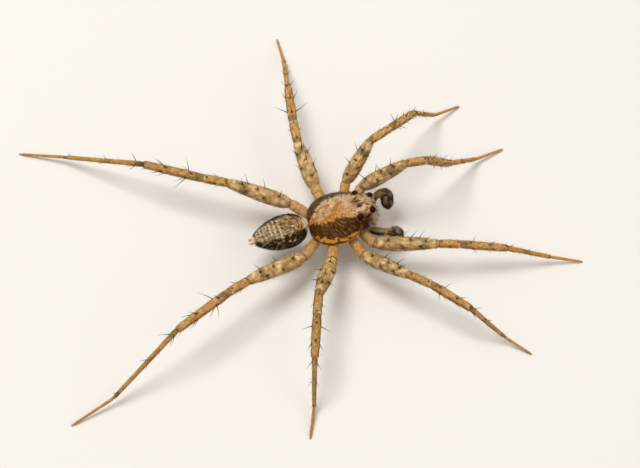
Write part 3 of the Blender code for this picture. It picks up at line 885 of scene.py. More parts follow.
def chelicera_surface(side):
    height, x, depth, width = np.array(CHELICERA)[::-1].T

    def shape(u, v):
        z = height[0] + (height[-1] - height[0]) * (1 - np.cos(math.pi * u)) / 2
        closing = np.sqrt(np.clip((z - height[0]) / 0.06, 0, 1) * np.clip((height[-1] - z) / 0.06, 0, 1))
        angle = 2 * math.pi * v
        ahead = (curve(z, height, depth) - CHELICERA_INSET) * closing * np.cos(angle)
        aside = (curve(z, height, width) - 0.6 * CHELICERA_INSET) * closing * np.sin(angle)
        return np.stack((curve(z, height, x) + ahead, side * CHELICERA_Y + aside, z), axis=1)

    def marks(u, v, points):
        blotch = grain(points, 0.15, 41 + side)
        dark = 0.55 * smooth(0.4, 0.65, blotch) + 0.3 * smooth(1.7, 1.35, points[:, 2])
        pale = 0.35 * smooth(1.8, 2.3, points[:, 2])
        return np.stack((dark, pale, 0.5 + 0 * dark), axis=1)

    def lie(along, around, normal, points):
        return -along

    return Surface(shape, marks, lie, 60, 48)


def fang_surface(side):
    radii = ((0, 0.072), (1, 0.062), (2, 0.044), (3, 0.012))
    return tube_surface(np.array(FANG) * (1, side, 1), radii, (0.9, 0, 0.3))


# Meshes -----------------------------------------------------------------------------------


def finish_piece(name, mesh, material, replaced=()):
    mesh.shade_smooth()
    mesh.materials.append(material)
    piece = bpy.data.objects.new(name, mesh)
    bpy.context.scene.collection.objects.link(piece)
    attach(piece, "root")
    if replaced:
        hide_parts(*replaced)
    return piece


def add_bmesh(name, bm, material, replaced=()):
    """A piece from a bmesh in millimetres of the body's frame."""
    bmesh.ops.translate(bm, vec=ORIGIN, verts=bm.verts)
    bmesh.ops.scale(bm, vec=(MM, MM, MM), verts=bm.verts)
    bmesh.ops.recalc_face_normals(bm, faces=bm.faces)
    mesh = bpy.data.meshes.new(name)
    bm.to_mesh(mesh)
    bm.free()
    return finish_piece(name, mesh, material, replaced)


def skin_bmesh(surface):
    """A grid bent round the surface's formula, with its seam and ends closed."""
    bm = bmesh.new()
    bm.loops.layers.uv.new("OFBake")
    bmesh.ops.create_grid(
        bm, x_segments=surface.rows, y_segments=surface.columns, size=1.0, calc_uvs=True
    )
    place = np.array([vertex.co for vertex in bm.verts])
    u = (place[:, 0] + 1) / 2
    v = (place[:, 1] + 1) / 2
    points = surface.shape(u, v)
    marks = surface.marks(u, v, points)
    layer = bm.verts.layers.float_color.new("marks")
    for vertex, point, mark in zip(bm.verts, points, marks):
        vertex.co = point
        vertex[layer] = (*mark, 0.5)
    bmesh.ops.remove_doubles(bm, verts=bm.verts, dist=WELD)
    return bm


def join(whole, bm):
    """Adds a small bmesh to a large one."""
    part = bpy.data.meshes.new("part")
    bm.to_mesh(part)
    bm.free()
    whole.from_mesh(part)
    bpy.data.meshes.remove(part)


def add_skin(name, surfaces, material, replaced=()):
    """One piece from one or more closed skins."""
    whole = bmesh.new()
    for surface in surfaces:
        join(whole, skin_bmesh(surface))
    return add_bmesh(name, whole, material, replaced)


# Coat -------------------------------------------------------------------------------------

STEP = 0.0008  # of u or v, over which a surface's directions are taken
HAIR_DEPTH = 0.012  # millimetres that roots are sunk
HAIR_FLATNESS = 0.45  # thickness over width
HAIR_TAPER = 0.6
HAIR_SWIRL = 0.22  # spread of the lie
HAIR_STIR = 0.10  # spread of the lift, in radians
HAIR_LENGTHS = (0.65, 1.25)
HAIR_WIDTHS = (0.75, 1.2)
PATCH = 0.003  # size of a hair's patch of the map


def surface_frame(surface, u, v):
    """Points, unit directions along, around and out of the surface, and the area per u and v."""
    along = surface.shape(np.clip(u + STEP, 0, 1), v) - surface.shape(np.clip(u - STEP, 0, 1), v)
    around = surface.shape(u, np.clip(v + STEP, 0, 1)) - surface.shape(u, np.clip(v - STEP, 0, 1))
    cross = np.cross(around, along)
    area = np.linalg.norm(cross, axis=1) / (2 * STEP) ** 2
    flat = area < 1e-6
    cross[flat] = Z
    along[flat] = X
    along = unit(along)
    normal = unit(cross)
    return surface.shape(u, v), along, np.cross(along, normal), normal, area


def scatter(rng, count):
    """Places on the map, clear of its edges."""
    return (rng.random((count, 2)) * 0.996 + 0.002).T


def hair_roots(surface, hair, rng):
    """Evenly scattered roots, thinned where the hair doesn't grow."""
    most_area = np.percentile(surface_frame(surface, *scatter(rng, 4000))[4], 99.5)
    count = int(hair.density * most_area * coat_settings().density)
    u, v = scatter(rng, count)
    points, along, around, normal, area = surface_frame(surface, u, v)
    chance = np.clip(area / most_area, 0, 1) * hair.where(u, v, points, normal)
    keep = rng.random(count) < chance
    return u[keep], v[keep], points[keep], along[keep], around[keep], normal[keep]


def hair_rings(hair, points, lie, normal, length, width, lifts):
    """Corners of bent, tapering hairs: rings of a few corners, and a tip."""
    rings, sides = hair.rings, hair.sides
    start, end = lifts
    aside = unit(np.cross(normal, lie))
    centre = points - normal * HAIR_DEPTH
    corners = np.empty((len(points), rings * sides + 1, 3))
    for ring in range(rings + 1):
        share = ring / rings
        rise = (start + (end - start) * share)[:, None]
        heading = lie * np.cos(rise) + normal * np.sin(rise)
        if ring < rings:
            radius = width / 2 * (1 - share) ** HAIR_TAPER
            over = np.cross(heading, aside)
            for side in range(sides):
                angle = 2 * math.pi * side / sides + math.pi / 6
                corner = aside * math.cos(angle) + over * math.sin(angle) * HAIR_FLATNESS
                corners[:, ring * sides + side] = centre + corner * radius[:, None]
            centre = centre + heading * (length / rings)[:, None]
    corners[:, -1] = centre
    return corners


def hair_faces(rings, sides):
    """Triangles of one hair, facing out."""
    faces = [(0, i + 1, i) for i in range(1, sides - 1)]
    for ring in range(rings - 1):
        for i in range(sides):
            a, b = ring * sides + i, ring * sides + (i + 1) % sides
            faces += [(a, b, b + sides), (a, b + sides, a + sides)]
    base = (rings - 1) * sides
    faces += [(base + i, base + (i + 1) % sides, rings * sides) for i in range(sides)]
    return np.array(faces)


def hair_batch(surface, hair, rng):
    """Corners, faces, marks and map places of one kind of hair on one surface."""
    u, v, points, along, around, normal = hair_roots(surface, hair, rng)
    count = len(u)
    settings = coat_settings()
    swirl = rng.normal(0, HAIR_SWIRL, count)[:, None]
    lie = surface.lie(along, around, normal, points)
    lie = unit(lie + np.cross(normal, lie) * swirl)
    lie = unit(lie - normal * np.sum(lie * normal, axis=1)[:, None])
    length = hair.length * settings.length * rng.uniform(*HAIR_LENGTHS, count)
    width = hair.width * settings.width * rng.uniform(*HAIR_WIDTHS, count)
    lifts = [math.radians(lift) + rng.normal(0, HAIR_STIR, count) for lift in hair.lifts]
    corners = hair_rings(hair, points, lie, normal, length, width, lifts)
    scale, shift = hair.paint
    marks = np.empty((count, 4))
    marks[:, :3] = surface.marks(u, v, points) * scale + shift
    marks[:, 3] = rng.random(count)
    return corners, hair_faces(hair.rings, hair.sides), marks, np.stack((u, v), axis=1)


def patch(rings, sides):
    """Places of a hair's corners within its own small patch of the map."""
    across = np.tile(np.linspace(0, 1, sides), rings)
    along = np.repeat(np.arange(rings) / rings, sides)
    return np.stack((np.append(across, 0.5), np.append(along, 1.0)), axis=1) * PATCH


def add_coat(name, surface, material, hairs, seed):
    """All the hair of one skin, joined in one mesh."""
    rng = np.random.default_rng(seed)
    corners, faces, marks, maps = [], [], [], []
    total = 0
    for hair in hairs:
        some, one, mark, place = hair_batch(surface, hair, rng)
        count, size = some.shape[:2]
        starts = total + size * np.arange(count)
        some[..., 2] = np.maximum(some[..., 2], FLOOR_GAP)
        corners.append(some.reshape(-1, 3))
        faces.append((starts[:, None, None] + one).reshape(-1, 3))
        marks.append(np.repeat(mark, size, axis=0))
        maps.append((place[:, None, :] * (1 - PATCH) + patch(hair.rings, hair.sides)).reshape(-1, 2))
        total += count * size
    corners = (np.concatenate(corners) + np.array(ORIGIN)) * MM
    faces = np.concatenate(faces)
    mesh = bpy.data.meshes.new(name)
    mesh.vertices.add(len(corners))
    mesh.vertices.foreach_set("co", corners.ravel())
    mesh.loops.add(faces.size)
    mesh.loops.foreach_set("vertex_index", faces.ravel())
    mesh.polygons.add(len(faces))
    mesh.polygons.foreach_set("loop_start", np.arange(0, faces.size, 3))
    mesh.update(calc_edges=True)
    tint = mesh.attributes.new("marks", "FLOAT_COLOR", "POINT")
    tint.data.foreach_set("color", np.concatenate(marks).ravel())
    uv = mesh.uv_layers.new(name="OFBake")
    uv.data.foreach_set("uv", np.concatenate(maps)[faces.ravel()].ravel())
    return finish_piece(name, mesh, material)


# Kinds of hair ----------------------------------------------------------------------------


def everywhere(u, v, points, normal):
    return np.ones(len(u))


AS_SKIN = (1, 0)  # a factor on the skin's dark, pale and warm marks, and what is added to them
PALE = ((0.15, 0, 0.3), (0, 0.9, 0))
DARK = (0, (0.95, 0, 0))
WARM = (0, (0, 0, 1))
GREY = ((0.6, 0.7, 0.6), (0, 0.3, 0))


def on_limb(places, low, high, soft, top_only=False):
    """Hair on a stretch of a limb, given by segment numbers, with soft ends."""

    def where(u, v, points, normal):
        place = limb_place(u, places)
        share = smooth(low - soft, low + soft, place) * smooth(high + soft, high - soft, place)
        return share * (smooth(0.1, 0.6, normal[:, 2]) if top_only else 1.0)

    return where


def on_leg(low, high):
    """Hair on a stretch of a leg, clear of its joints."""
    stretch = on_limb(LEG_PLACES, low, high, 0.02)

    def where(u, v, points, normal):
        place = limb_place(u, LEG_PLACES)
        return stretch(u, v, points, normal) * smooth(0.015, 0.05, np.abs(place - np.round(place)))

    return where


def on_palp(low, high, top_only=False):
    return on_limb(PALP_PLACES, low, high, 0.03, top_only)


LEG_HAIRS = (
    Hair(300, 0.12, 0.017, (16, 3), 1, 3, on_leg(0.1, 5.0), AS_SKIN),
    Hair(360, 0.09, 0.013, (16, 4), 1, 3, on_leg(5.0, 6.95), AS_SKIN),
    Hair(70, 0.20, 0.013, (30, 10), 2, 3, on_leg(1.0, 3.0), PALE),
    Hair(36, 0.18, 0.012, (30, 10), 2, 3, on_leg(3.0, 5.9), PALE),
    Hair(44, 0.17, 0.014, (28, 10), 2, 3, on_leg(2.0, 5.9), DARK),
    Hair(9, 0.34, 0.011, (78, 60), 2, 3, on_leg(2.0, 6.0), DARK),
    Hair(160, 0.10, 0.014, (45, 25), 1, 3, on_leg(6.85, 6.99), DARK),
)


def shield_hair(kind):
    """Where each kind of hair grows on the shield: never where it would lie over an eye."""

    def where(u, v, points, normal):
        local = shield_local(points)
        x, y, z = local.T
        ahead = unit(local - WHORL)
        clear = (v < SHIELD_TOP) * (u > 0.01) * (u < 0.998) * smooth(0.07, 0.10, eye_distance(local))
        for reach in (0.12, 0.24):
            clear = clear * smooth(0.04, 0.09, eye_distance(local + ahead * reach))
        half = middle_half(x, y)
        middle = smooth(half + 0.05, half - 0.1, np.abs(y))
        head = smooth(0.85, 1.2, x) * (z > 0.75)
        face = smooth(1.25, 1.5, x) * (z < 0.8)
        if kind == "head":
            return clear * np.maximum(head, face)
        clumps = smooth(0.36, 0.52, grain(points, 0.17, 8))
        side = most(smooth(-0.05, 0.1, y - 0.45 * x), 0.05, 0.7 * smooth(-0.15, 0.35, x))
        if kind == "pale":
            return clear * middle * clumps * side * (1 - head) * smooth(-1.15, -0.85, x)
        if kind == "grey":
            return clear * (1 - middle) * (y > 0) * (1 - head) * (z > 0.1)
        return clear * (1 - head) * (z > 0.2)

    return where


SHIELD_HAIRS = (
    Hair(700, 0.25, 0.019, (20, 4), 2, 3, shield_hair("pale"), PALE),
    Hair(1250, 0.22, 0.018, (18, 5), 2, 3, shield_hair("head"), AS_SKIN),
    Hair(45, 0.34, 0.017, (60, 30), 3, 3, shield_hair("head"), DARK),
    Hair(105, 0.18, 0.014, (25, 6), 1, 3, shield_hair("grey"), GREY),
    Hair(100, 0.13, 0.012, (22, 5), 1, 3, shield_hair("rest"), AS_SKIN),
)


def rim_hair(u, v, points, normal):
    """Short flat hair that stands round the large eyes."""
    local = shield_local(points)
    reach = eye_distance(local)
    ring = smooth(0.02, 0.035, reach) * smooth(0.085, 0.07, reach)
    patchy = smooth(0.28, 0.42, grain(local, 0.09, 17))
    return ring * patchy * (v < SHIELD_TOP) * (local[:, 2] > 0.7)


def abdomen_hair(kind):
    """Where each kind of hair grows on the abdomen."""

    def where(u, v, points, normal):
        inside = (u > 0.03) * (u < 0.97)
        if kind == "white":
            return inside * smooth(0.35, 0.7, abdomen_marks(u, v, points)[:, 1])
        if kind == "tuft":
            place = -abdomen_local(points)[:, 0]
            return inside * smooth(0.25, 0.05, place) * smooth(0.0, 0.5, normal[:, 2])
        return inside

    return where


ABDOMEN_HAIRS = (
    Hair(1150, 0.14, 0.021, (26, 8), 1, 3, abdomen_hair("all"), AS_SKIN),
    Hair(560, 0.15, 0.022, (26, 6), 1, 3, abdomen_hair("white"), PALE),
    Hair(50, 0.22, 0.016, (50, 25), 2, 3, abdomen_hair("all"), DARK),
    Hair(40, 0.24, 0.014, (40, 18), 2, 3, abdomen_hair("all"), PALE),
    Hair(300, 0.30, 0.020, (60, 30), 2, 3, abdomen_hair("tuft"), PALE),
)
PALP_HAIRS = (
    Hair(420, 0.13, 0.017, (20, 5), 1, 3, on_palp(0.0, 4.0), AS_SKIN),
    Hair(800, 0.14, 0.019, (18, 5), 1, 3, on_palp(4.0, 5.0), AS_SKIN),
    Hair(55, 0.22, 0.018, (40, 14), 2, 3, on_palp(1.8, 4.1, True), PALE),
    Hair(60, 0.22, 0.016, (50, 25), 2, 3, on_palp(2.0, 5.0), DARK),
)
FACE_HAIRS = (
    Hair(400, 0.13, 0.020, (24, 8), 2, 3, everywhere, PALE),
    Hair(50, 0.16, 0.016, (40, 20), 2, 3, everywhere, DARK),
)
UNDER_HAIRS = (
    Hair(180, 0.20, 0.020, (40, 18), 2, 3, everywhere, PALE),
    Hair(60, 0.24, 0.016, (55, 32), 2, 3, everywhere, DARK),
)


# Spines -----------------------------------------------------------------------------------


def spine_bmesh(root, lie, normal, length, rise):
    """A thin black cone, bent a little, with a collar round its foot."""
    bm = bmesh.new()
    radius = 0.014 + 0.020 * min(length, 0.8)
    bmesh.ops.create_cone(
        bm, cap_ends=True, segments=6, radius1=radius, radius2=0.1 * radius, depth=length
    )
    long_edges = [e for e in bm.edges if abs(e.verts[0].co.z - e.verts[1].co.z) > length / 2]
    bmesh.ops.subdivide_edges(bm, edges=long_edges, cuts=3)
    for vertex in bm.verts:
        share = vertex.co.z / length + 0.5
        vertex.co.x += 0.10 * length * share**2
        vertex.co.z += length / 2
    bmesh.ops.create_uvsphere(bm, u_segments=8, v_segments=5, radius=1.5 * radius)
    bm.faces.sort(key=lambda face: face.calc_center_median().dot(SLANT))
    heading = unit(lie * math.cos(rise) + normal * math.sin(rise))
    bend = unit(lie - heading * lie.dot(heading))
    turn = Matrix(np.stack((bend, np.cross(heading, bend), heading), axis=1).tolist()).to_4x4()
    turn.translation = root - 0.01 * normal
    bmesh.ops.transform(bm, matrix=turn, verts=bm.verts)
    return bm


def claw_bmesh(label, pair):
    """Two curved claws at a leg's tip."""
    *_, ankle, end = leg_joints(label, pair)
    ahead = unit(unit(end - ankle) * (1, 1, 0))
    aside = np.cross(Z, ahead)
    whole = bmesh.new()
    for side in (-1, 1):
        tip = end + aside * side * 0.03 - ahead * 0.02
        path = (tip, tip + ahead * 0.06 + Z * 0.015, tip + ahead * 0.12 - Z * 0.04)
        radii = ((0, 0.018), (1, 0.014), (2, 0.005))
        join(whole, skin_bmesh(tube_surface(np.array(path), radii, (1, 0, 0), 8)))
    return whole


def add_spines(label, pair, material):
    """The spines and claws of one leg, with none under the floor."""
    surface = leg_surface(label, pair)
    whole = bmesh.new()
    rng = np.random.default_rng(500 + pair * 2 + (label == "left"))
    for place, turn, length, rise in spine_list():
        u = np.interp(place + rng.normal(0, 0.012), LEG_PLACES, np.linspace(0, 1, len(LEG_PLACES)))
        v = (turn + rng.normal(0, 4)) / 360
        found = surface_frame(surface, np.array([u]), np.array([v]))
        point, along, _, normal, _ = (values[0] for values in found)
        length = length * rng.uniform(0.88, 1.1)
        if place > 3:
            length = length * SPINE_FACTORS[pair]
        rise = math.radians(rise + rng.normal(0, 4))
        fall = -(along * math.cos(rise) + normal * math.sin(rise))[2]
        length = min(length, 0.8 * point[2] / max(fall, 0.01))
        join(whole, spine_bmesh(point, along, normal, length, rise))
    join(whole, claw_bmesh(label, pair))
    for vertex in whole.verts:
        vertex.co.z = max(vertex.co.z, FLOOR_GAP)
    return add_bmesh(f"spines_{label}_leg_{pair}", whole, material)


# Materials --------------------------------------------------------------------------------


def new_group(name, inputs, outputs):
    group = bpy.data.node_groups.new(name, "ShaderNodeTree")
    for label, kind in inputs:
        group.interface.new_socket(label, in_out="INPUT", socket_type=kind)
    for label, kind in outputs:
        group.interface.new_socket(label, in_out="OUTPUT", socket_type=kind)
    return group, group.nodes.new("NodeGroupInput"), group.nodes.new("NodeGroupOutput")


def connect(tree, value, socket):
    """Feeds a socket from another one, or with a plain number or colour."""
    if isinstance(value, bpy.types.NodeSocket):
        tree.links.new(value, socket)
    else:
        socket.default_value = value


def math_node(tree, operation, first, second, clamp=False):
    node = tree.nodes.new("ShaderNodeMath")
    node.operation = operation
    node.use_clamp = clamp
    connect(tree, first, node.inputs[0])
    connect(tree, second, node.inputs[1])
    return node.outputs[0]


def mix_colour(tree, factor, first, second):
    node = tree.nodes.new("ShaderNodeMix")
    node.data_type = "RGBA"
    node.clamp_result = True
    for socket, value in ((0, factor), (6, first), (7, second)):
        connect(tree, value, node.inputs[socket])
    return node.outputs[2]


def millimetres(tree):
    """Object coordinates in millimetres."""
    place = tree.nodes.new("ShaderNodeTexCoord")
    scale = tree.nodes.new("ShaderNodeVectorMath")
    scale.operation = "SCALE"
    scale.inputs["Scale"].default_value = 1 / MM
    tree.links.new(place.outputs["Object"], scale.inputs[0])
    return scale.outputs[0]


def noise_node(tree, vector, scale, detail=2.0):
    node = tree.nodes.new("ShaderNodeTexNoise")
    node.inputs["Scale"].default_value = scale
    node.inputs["Detail"].default_value = detail
    tree.links.new(vector, node.inputs["Vector"])
    return node.outputs["Fac"]


BRIGHTNESS = 1.35  # factor on the colours of skin and hair, before the mottling


def marking_group():
    """Skin and hair colour from the marks that both carry, broken up by fine mottling."""
    colours = [(label, "NodeSocketColor") for label in ("Ground", "Dark", "Pale", "Warm")]
    inputs = colours + [("Mottle", "NodeSocketFloat"), ("Variation", "NodeSocketFloat")]
    outputs = [("Colour", "NodeSocketColor"), ("Relief", "NodeSocketFloat")]
    group, source, result = new_group("Spider markings", inputs, outputs)
    marks = group.nodes.new("ShaderNodeAttribute")
    marks.attribute_name = "marks"
    split = group.nodes.new("ShaderNodeSeparateColor")
    group.links.new(marks.outputs["Color"], split.inputs[0])
    place = millimetres(group)
    fine = noise_node(group, place, 26.0)
    coarse = noise_node(group, place, 7.0)
    shift = math_node(group, "SUBTRACT", fine, 0.5)
    shift = math_node(group, "MULTIPLY", shift, source.outputs["Mottle"])
    colour = source.outputs["Ground"]
    for channel, label in (("Blue", "Warm"), ("Red", "Dark"), ("Green", "Pale")):
        amount = split.outputs[channel]
        edge = math_node(group, "MULTIPLY", amount, math_node(group, "SUBTRACT", 1.0, amount))
        edge = math_node(group, "MULTIPLY", edge, 4.0)
        change = math_node(group, "MULTIPLY", edge, shift)
        amount = math_node(group, "ADD", amount, change, clamp=True)
        colour = mix_colour(group, amount, colour, source.outputs[label])
    tone = math_node(group, "SUBTRACT", marks.outputs["Alpha"], 0.5)
    tone = math_node(group, "MULTIPLY", tone, source.outputs["Variation"])
    tone = math_node(group, "ADD", tone, math_node(group, "MULTIPLY", shift, 0.45))
    tone = math_node(group, "ADD", tone, math_node(group, "MULTIPLY", coarse, 0.3))
    bright = group.nodes.new("ShaderNodeHueSaturation")
    group.links.new(math_node(group, "ADD", tone, BRIGHTNESS), bright.inputs["Value"])
    group.links.new(colour, bright.inputs["Color"])
    group.links.new(bright.outputs["Color"], result.inputs["Colour"])
    group.links.new(fine, result.inputs["Relief"])
    return group


def lines_group():
    """Fine streaks along a limb, from the skin's own map."""
    inputs = [("Along", "NodeSocketFloat"), ("Around", "NodeSocketFloat")]
    outputs = [("Streaks", "NodeSocketFloat")]
    group, source, result = new_group("Spider fine streaks", inputs, outputs)
    place = group.nodes.new("ShaderNodeUVMap")
    place.uv_map = "OFBake"
    split = group.nodes.new("ShaderNodeSeparateXYZ")
    joined = group.nodes.new("ShaderNodeCombineXYZ")
    group.links.new(place.outputs["UV"], split.inputs[0])
    for axis, label in (("X", "Along"), ("Y", "Around")):
        stretched = math_node(group, "MULTIPLY", split.outputs[axis], source.outputs[label])
        group.links.new(stretched, joined.inputs[axis])
    spread = group.nodes.new("ShaderNodeMapRange")
    spread.inputs["From Min"].default_value = 0.48
    spread.inputs["From Max"].default_value = 0.66
    group.links.new(noise_node(group, joined.outputs[0], 1.0, 1.0), spread.inputs["Value"])
    group.links.new(spread.outputs["Result"], result.inputs["Streaks"])
    return group


def shader_material(name, roughness, specular):
    material = bpy.data.materials.new(name)
    material.use_nodes = True
    shader = material.node_tree.nodes["Principled BSDF"]
    shader.inputs["Roughness"].default_value = roughness
    shader.inputs["Specular IOR Level"].default_value = specular
    return material, material.node_tree, shader


def marked_material(name, region, roughness, mottle=1.0, variation=0.0, specular=0.08, streaks=None):
    """Skin or hair of one region of the body, in that region's four colours."""
    material, tree, shader = shader_material(name, roughness, specular)
    group = tree.nodes.new("ShaderNodeGroup")
    group.node_tree = shared_group("Spider markings", marking_group)
    for label in ("ground", "dark", "pale", "warm"):
        colour = getattr(colour_settings(), f"{region}_{label}")
        group.inputs[label.capitalize()].default_value = (*colour, 1)
    group.inputs["Mottle"].default_value = mottle
    group.inputs["Variation"].default_value = variation
    colour = group.outputs["Colour"]
    height = group.outputs["Relief"]
    if streaks:
        lines = tree.nodes.new("ShaderNodeGroup")
        lines.node_tree = shared_group("Spider fine streaks", lines_group)
        lines.inputs["Along"].default_value, lines.inputs["Around"].default_value = streaks
        amount = math_node(tree, "MULTIPLY", lines.outputs["Streaks"], 0.35)
        dark = (*getattr(colour_settings(), f"{region}_dark"), 1)
        colour = mix_colour(tree, amount, colour, dark)
        height = math_node(tree, "SUBTRACT", height, amount)
    bump = tree.nodes.new("ShaderNodeBump")
    bump.inputs["Strength"].default_value = 0.5
    bump.inputs["Distance"].default_value = 0.03 * MM
    tree.links.new(height, bump.inputs["Height"])
    tree.links.new(colour, shader.inputs["Base Color"])
    tree.links.new(bump.outputs["Normal"], shader.inputs["Normal"])
    return material


def shared_group(name, make):
    return bpy.data.node_groups.get(name) or make()


def glossy_material(name, colour, roughness=0.12, specular=0.3):
    """Fangs, claws, spines and eyes: dark and shiny, a little uneven."""
    material, tree, shader = shader_material(name, roughness, specular)
    shade = noise_node(tree, millimetres(tree), 14.0)
    ramp = tree.nodes.new("ShaderNodeValToRGB")
    ramp.color_ramp.elements[0].color = (*(0.6 * c for c in colour), 1)
    ramp.color_ramp.elements[1].color = (*(min(1.0, 1.5 * c) for c in colour), 1)
    tree.links.new(shade, ramp.inputs["Fac"])
    tree.links.new(ramp.outputs["Color"], shader.inputs["Base Color"])
    return material


# Settings ---------------------------------------------------------------------------------


def colour(name, description, default):
    return bpy.props.FloatVectorProperty(
        name=name, description=description, default=default, subtype="COLOR", min=0, max=1
    )


def factor(name, description, low, high):
    return bpy.props.FloatProperty(name=name, description=description, default=1, min=low, max=high)


class SpiderColours(bpy.types.PropertyGroup):
    """Four colours for each region: its ground, its dark and warm marks and its pale hair."""

    shield_ground: colour("Shield", "Bare skin of the shield's middle", (0.275, 0.113, 0.025))
    shield_dark: colour("Shield dark", "Dark sides of the shield", (0.024, 0.0115, 0.002))
    shield_pale: colour("Shield hair", "Pale hair of the shield's middle", (0.76, 0.60, 0.38))
    shield_warm: colour("Shield belt", "Orange belt over the margin", (0.44, 0.178, 0.020))
    abdomen_ground: colour("Abdomen", "Back of the abdomen", (0.38, 0.225, 0.078))
    abdomen_dark: colour("Abdomen dark", "Flanks and spots", (0.021, 0.011, 0.003))
    abdomen_pale: colour("Abdomen hair", "White hair bars", (0.72, 0.62, 0.46))
    abdomen_warm: colour("Abdomen warm", "Tan edge of the back", (0.42, 0.19, 0.055))
    leg_ground: colour("Legs", "Femora and coxae", (0.56, 0.345, 0.128))
    leg_dark: colour("Leg rings", "Olive rings and dark joints", (0.055, 0.038, 0.012))
    leg_pale: colour("Leg hair", "Pale hair of the legs", (0.84, 0.64, 0.38))
    leg_warm: colour("Leg brown", "Patella, tibia and metatarsus", (0.37, 0.178, 0.042))
    palp_ground: colour("Palps", "Ground of the palps", (0.15, 0.09, 0.038))
    palp_dark: colour("Palps dark", "Femora and cymbia of the palps", (0.022, 0.015, 0.008))
    palp_pale: colour("Palp hair", "Pale hair of the palps", (0.50, 0.37, 0.22))
    palp_warm: colour("Palp brown", "Middle of the palps", (0.42, 0.20, 0.07))
    under_ground: colour("Underside", "Mouthparts and sternum", (0.46, 0.27, 0.12))
    under_dark: colour("Underside dark", "Dark of the sternum", (0.08, 0.045, 0.025))
    under_pale: colour("Underside hair", "Whitish hair", (0.74, 0.62, 0.46))
    under_warm: colour("Underside warm", "Jaws and spinnerets", (0.42, 0.22, 0.07))
    eye: colour("Eyes", "Glossy black of the eyes", (0.006, 0.005, 0.006))
    eye_rim: colour("Eye rims", "Orange-red hair round the eyes", (0.70, 0.13, 0.015))
    spine: colour("Spines", "Spines, claws and bristles", (0.020, 0.011, 0.008))
    fang: colour("Fangs", "Dark red-brown fangs", (0.09, 0.025, 0.012))


class SpiderCoat(bpy.types.PropertyGroup):
    """Factors over the whole coat."""

    density: factor("Density", "Factor on the number of hairs", 0.05, 2)
    length: factor("Length", "Factor on the length of the hairs", 0.2, 3)
    width: factor("Width", "Factor on the width of the hairs", 0.2, 3)


class SpiderStage(bpy.types.PropertyGroup):
    """Floor, light and camera."""

    floor: colour("Floor", "Colour of the plain floor", (0.78, 0.75, 0.71))
    key: bpy.props.FloatProperty(
        name="Key light", description="Power of the main light", default=0.50, min=0, unit="POWER"
    )
    fill: bpy.props.FloatProperty(
        name="Fill light", description="Power of the fill light", default=0.16, min=0, unit="POWER"
    )
    sky: bpy.props.FloatProperty(
        name="Sky", description="Strength of the even light", default=0.42, min=0, max=5
    )
    elevation: bpy.props.FloatProperty(
        name="Camera elevation", default=math.radians(62.5), subtype="ANGLE",
        description="Height of the camera over the horizon",
    )
    turn: bpy.props.FloatProperty(
        name="Camera turn", default=math.radians(12), subtype="ANGLE",
        description="Turn of the camera towards the spider's tail, from its right side",
    )
    distance: bpy.props.FloatProperty(
        name="Camera distance", default=0.22, unit="LENGTH",
        description="From the camera to the point it aims at",
    )


def colour_settings():
    return bpy.context.scene.spider_colours


def coat_settings():
    return bpy.context.scene.spider_coat


def stage_settings():
    return bpy.context.scene.spider_stage


# Operators --------------------------------------------------------------------------------


def region_materials(name, region, roughness, streaks=None):
    """Skin and hair of one part, in its region's colours."""
    skin = marked_material(f"{name} skin", region, roughness, streaks=streaks)
    hair = marked_material(f"{name} hair", region, 0.8, 0.4, 0.4, 0.03)
    return skin, hair


def dress(name, surface, materials, nodes, hairs, seed):
    """A skin in place of its nodes, and the coat that grows from it."""
    skin, hair = materials
    add_skin(f"{name}_skin", [surface], skin, nodes)
    add_coat(f"{name}_coat", surface, hair, hairs, seed)


class SPIDER_OT_shield(bpy.types.Operator):
    """Front shield with its grooves, markings and hair"""

    bl_idname = "spider.shield"
    bl_label = "Shield"

    def execute(self, context):
        materials = region_materials("shield", "shield", 0.45)
        dress("shield", shield_surface(), materials, ["carapace"], SHIELD_HAIRS, 101)
        return {"FINISHED"}


class SPIDER_OT_eyes(bpy.types.Operator):
    """Eight glossy eyes, the four large ones rimmed with orange hair"""

    bl_idname = "spider.eyes"
    bl_label = "Eyes"

    def execute(self, context):
        material = glossy_material("eye", colour_settings().eye, 0.10, 0.10)
        for name, ((x, y, z), radius) in EYES.items():
            for label, side in SIDES:
                bm = bmesh.new()
                bmesh.ops.create_icosphere(bm, subdivisions=4, radius=radius * 0.985)
                centre = shield_place(np.array([(x, side * y, z)]))[0]
                bmesh.ops.translate(bm, vec=centre, verts=bm.verts)
                add_bmesh(f"eyeball_{label}_{name}", bm, material, [f"{label}_{name}"])
        hairs = (Hair(3600, 0.07, 0.030, (45, 25), 1, 3, rim_hair, WARM),)
        material = glossy_material("eye rim hair", colour_settings().eye_rim, 0.6, 0.1)
        add_coat("eye_rims", shield_surface(), material, hairs, 303)
        return {"FINISHED"}


class SPIDER_OT_abdomen(bpy.types.Operator):
    """Abdomen, waist and spinnerets"""

    bl_idname = "spider.abdomen"
    bl_label = "Abdomen"

    def execute(self, context):
        materials = region_materials("abdomen", "abdomen", 0.6)
        tail = marked_material("spinneret skin", "under", 0.5)
        dress("abdomen", abdomen_surface(), materials, ["abdomen"], ABDOMEN_HAIRS, 102)
        add_skin("waist_skin", [waist_surface()], tail, ["pedicel"])
        add_skin("spinneret_skin", spinneret_surfaces(), tail, ["spinnerets"])
        return {"FINISHED"}


class SPIDER_OT_underside(bpy.types.Operator):
    """Sternum and mouthparts"""

    bl_idname = "spider.underside"
    bl_label = "Underside"

    def execute(self, context):
        materials = region_materials("underside", "under", 0.5)
        dress("sternum", sternum_surface(), materials, ["sternum"], UNDER_HAIRS, 103)
        add_skin("mouth_skin", mouth_surfaces(), materials[0], ["mouthparts"])
        return {"FINISHED"}


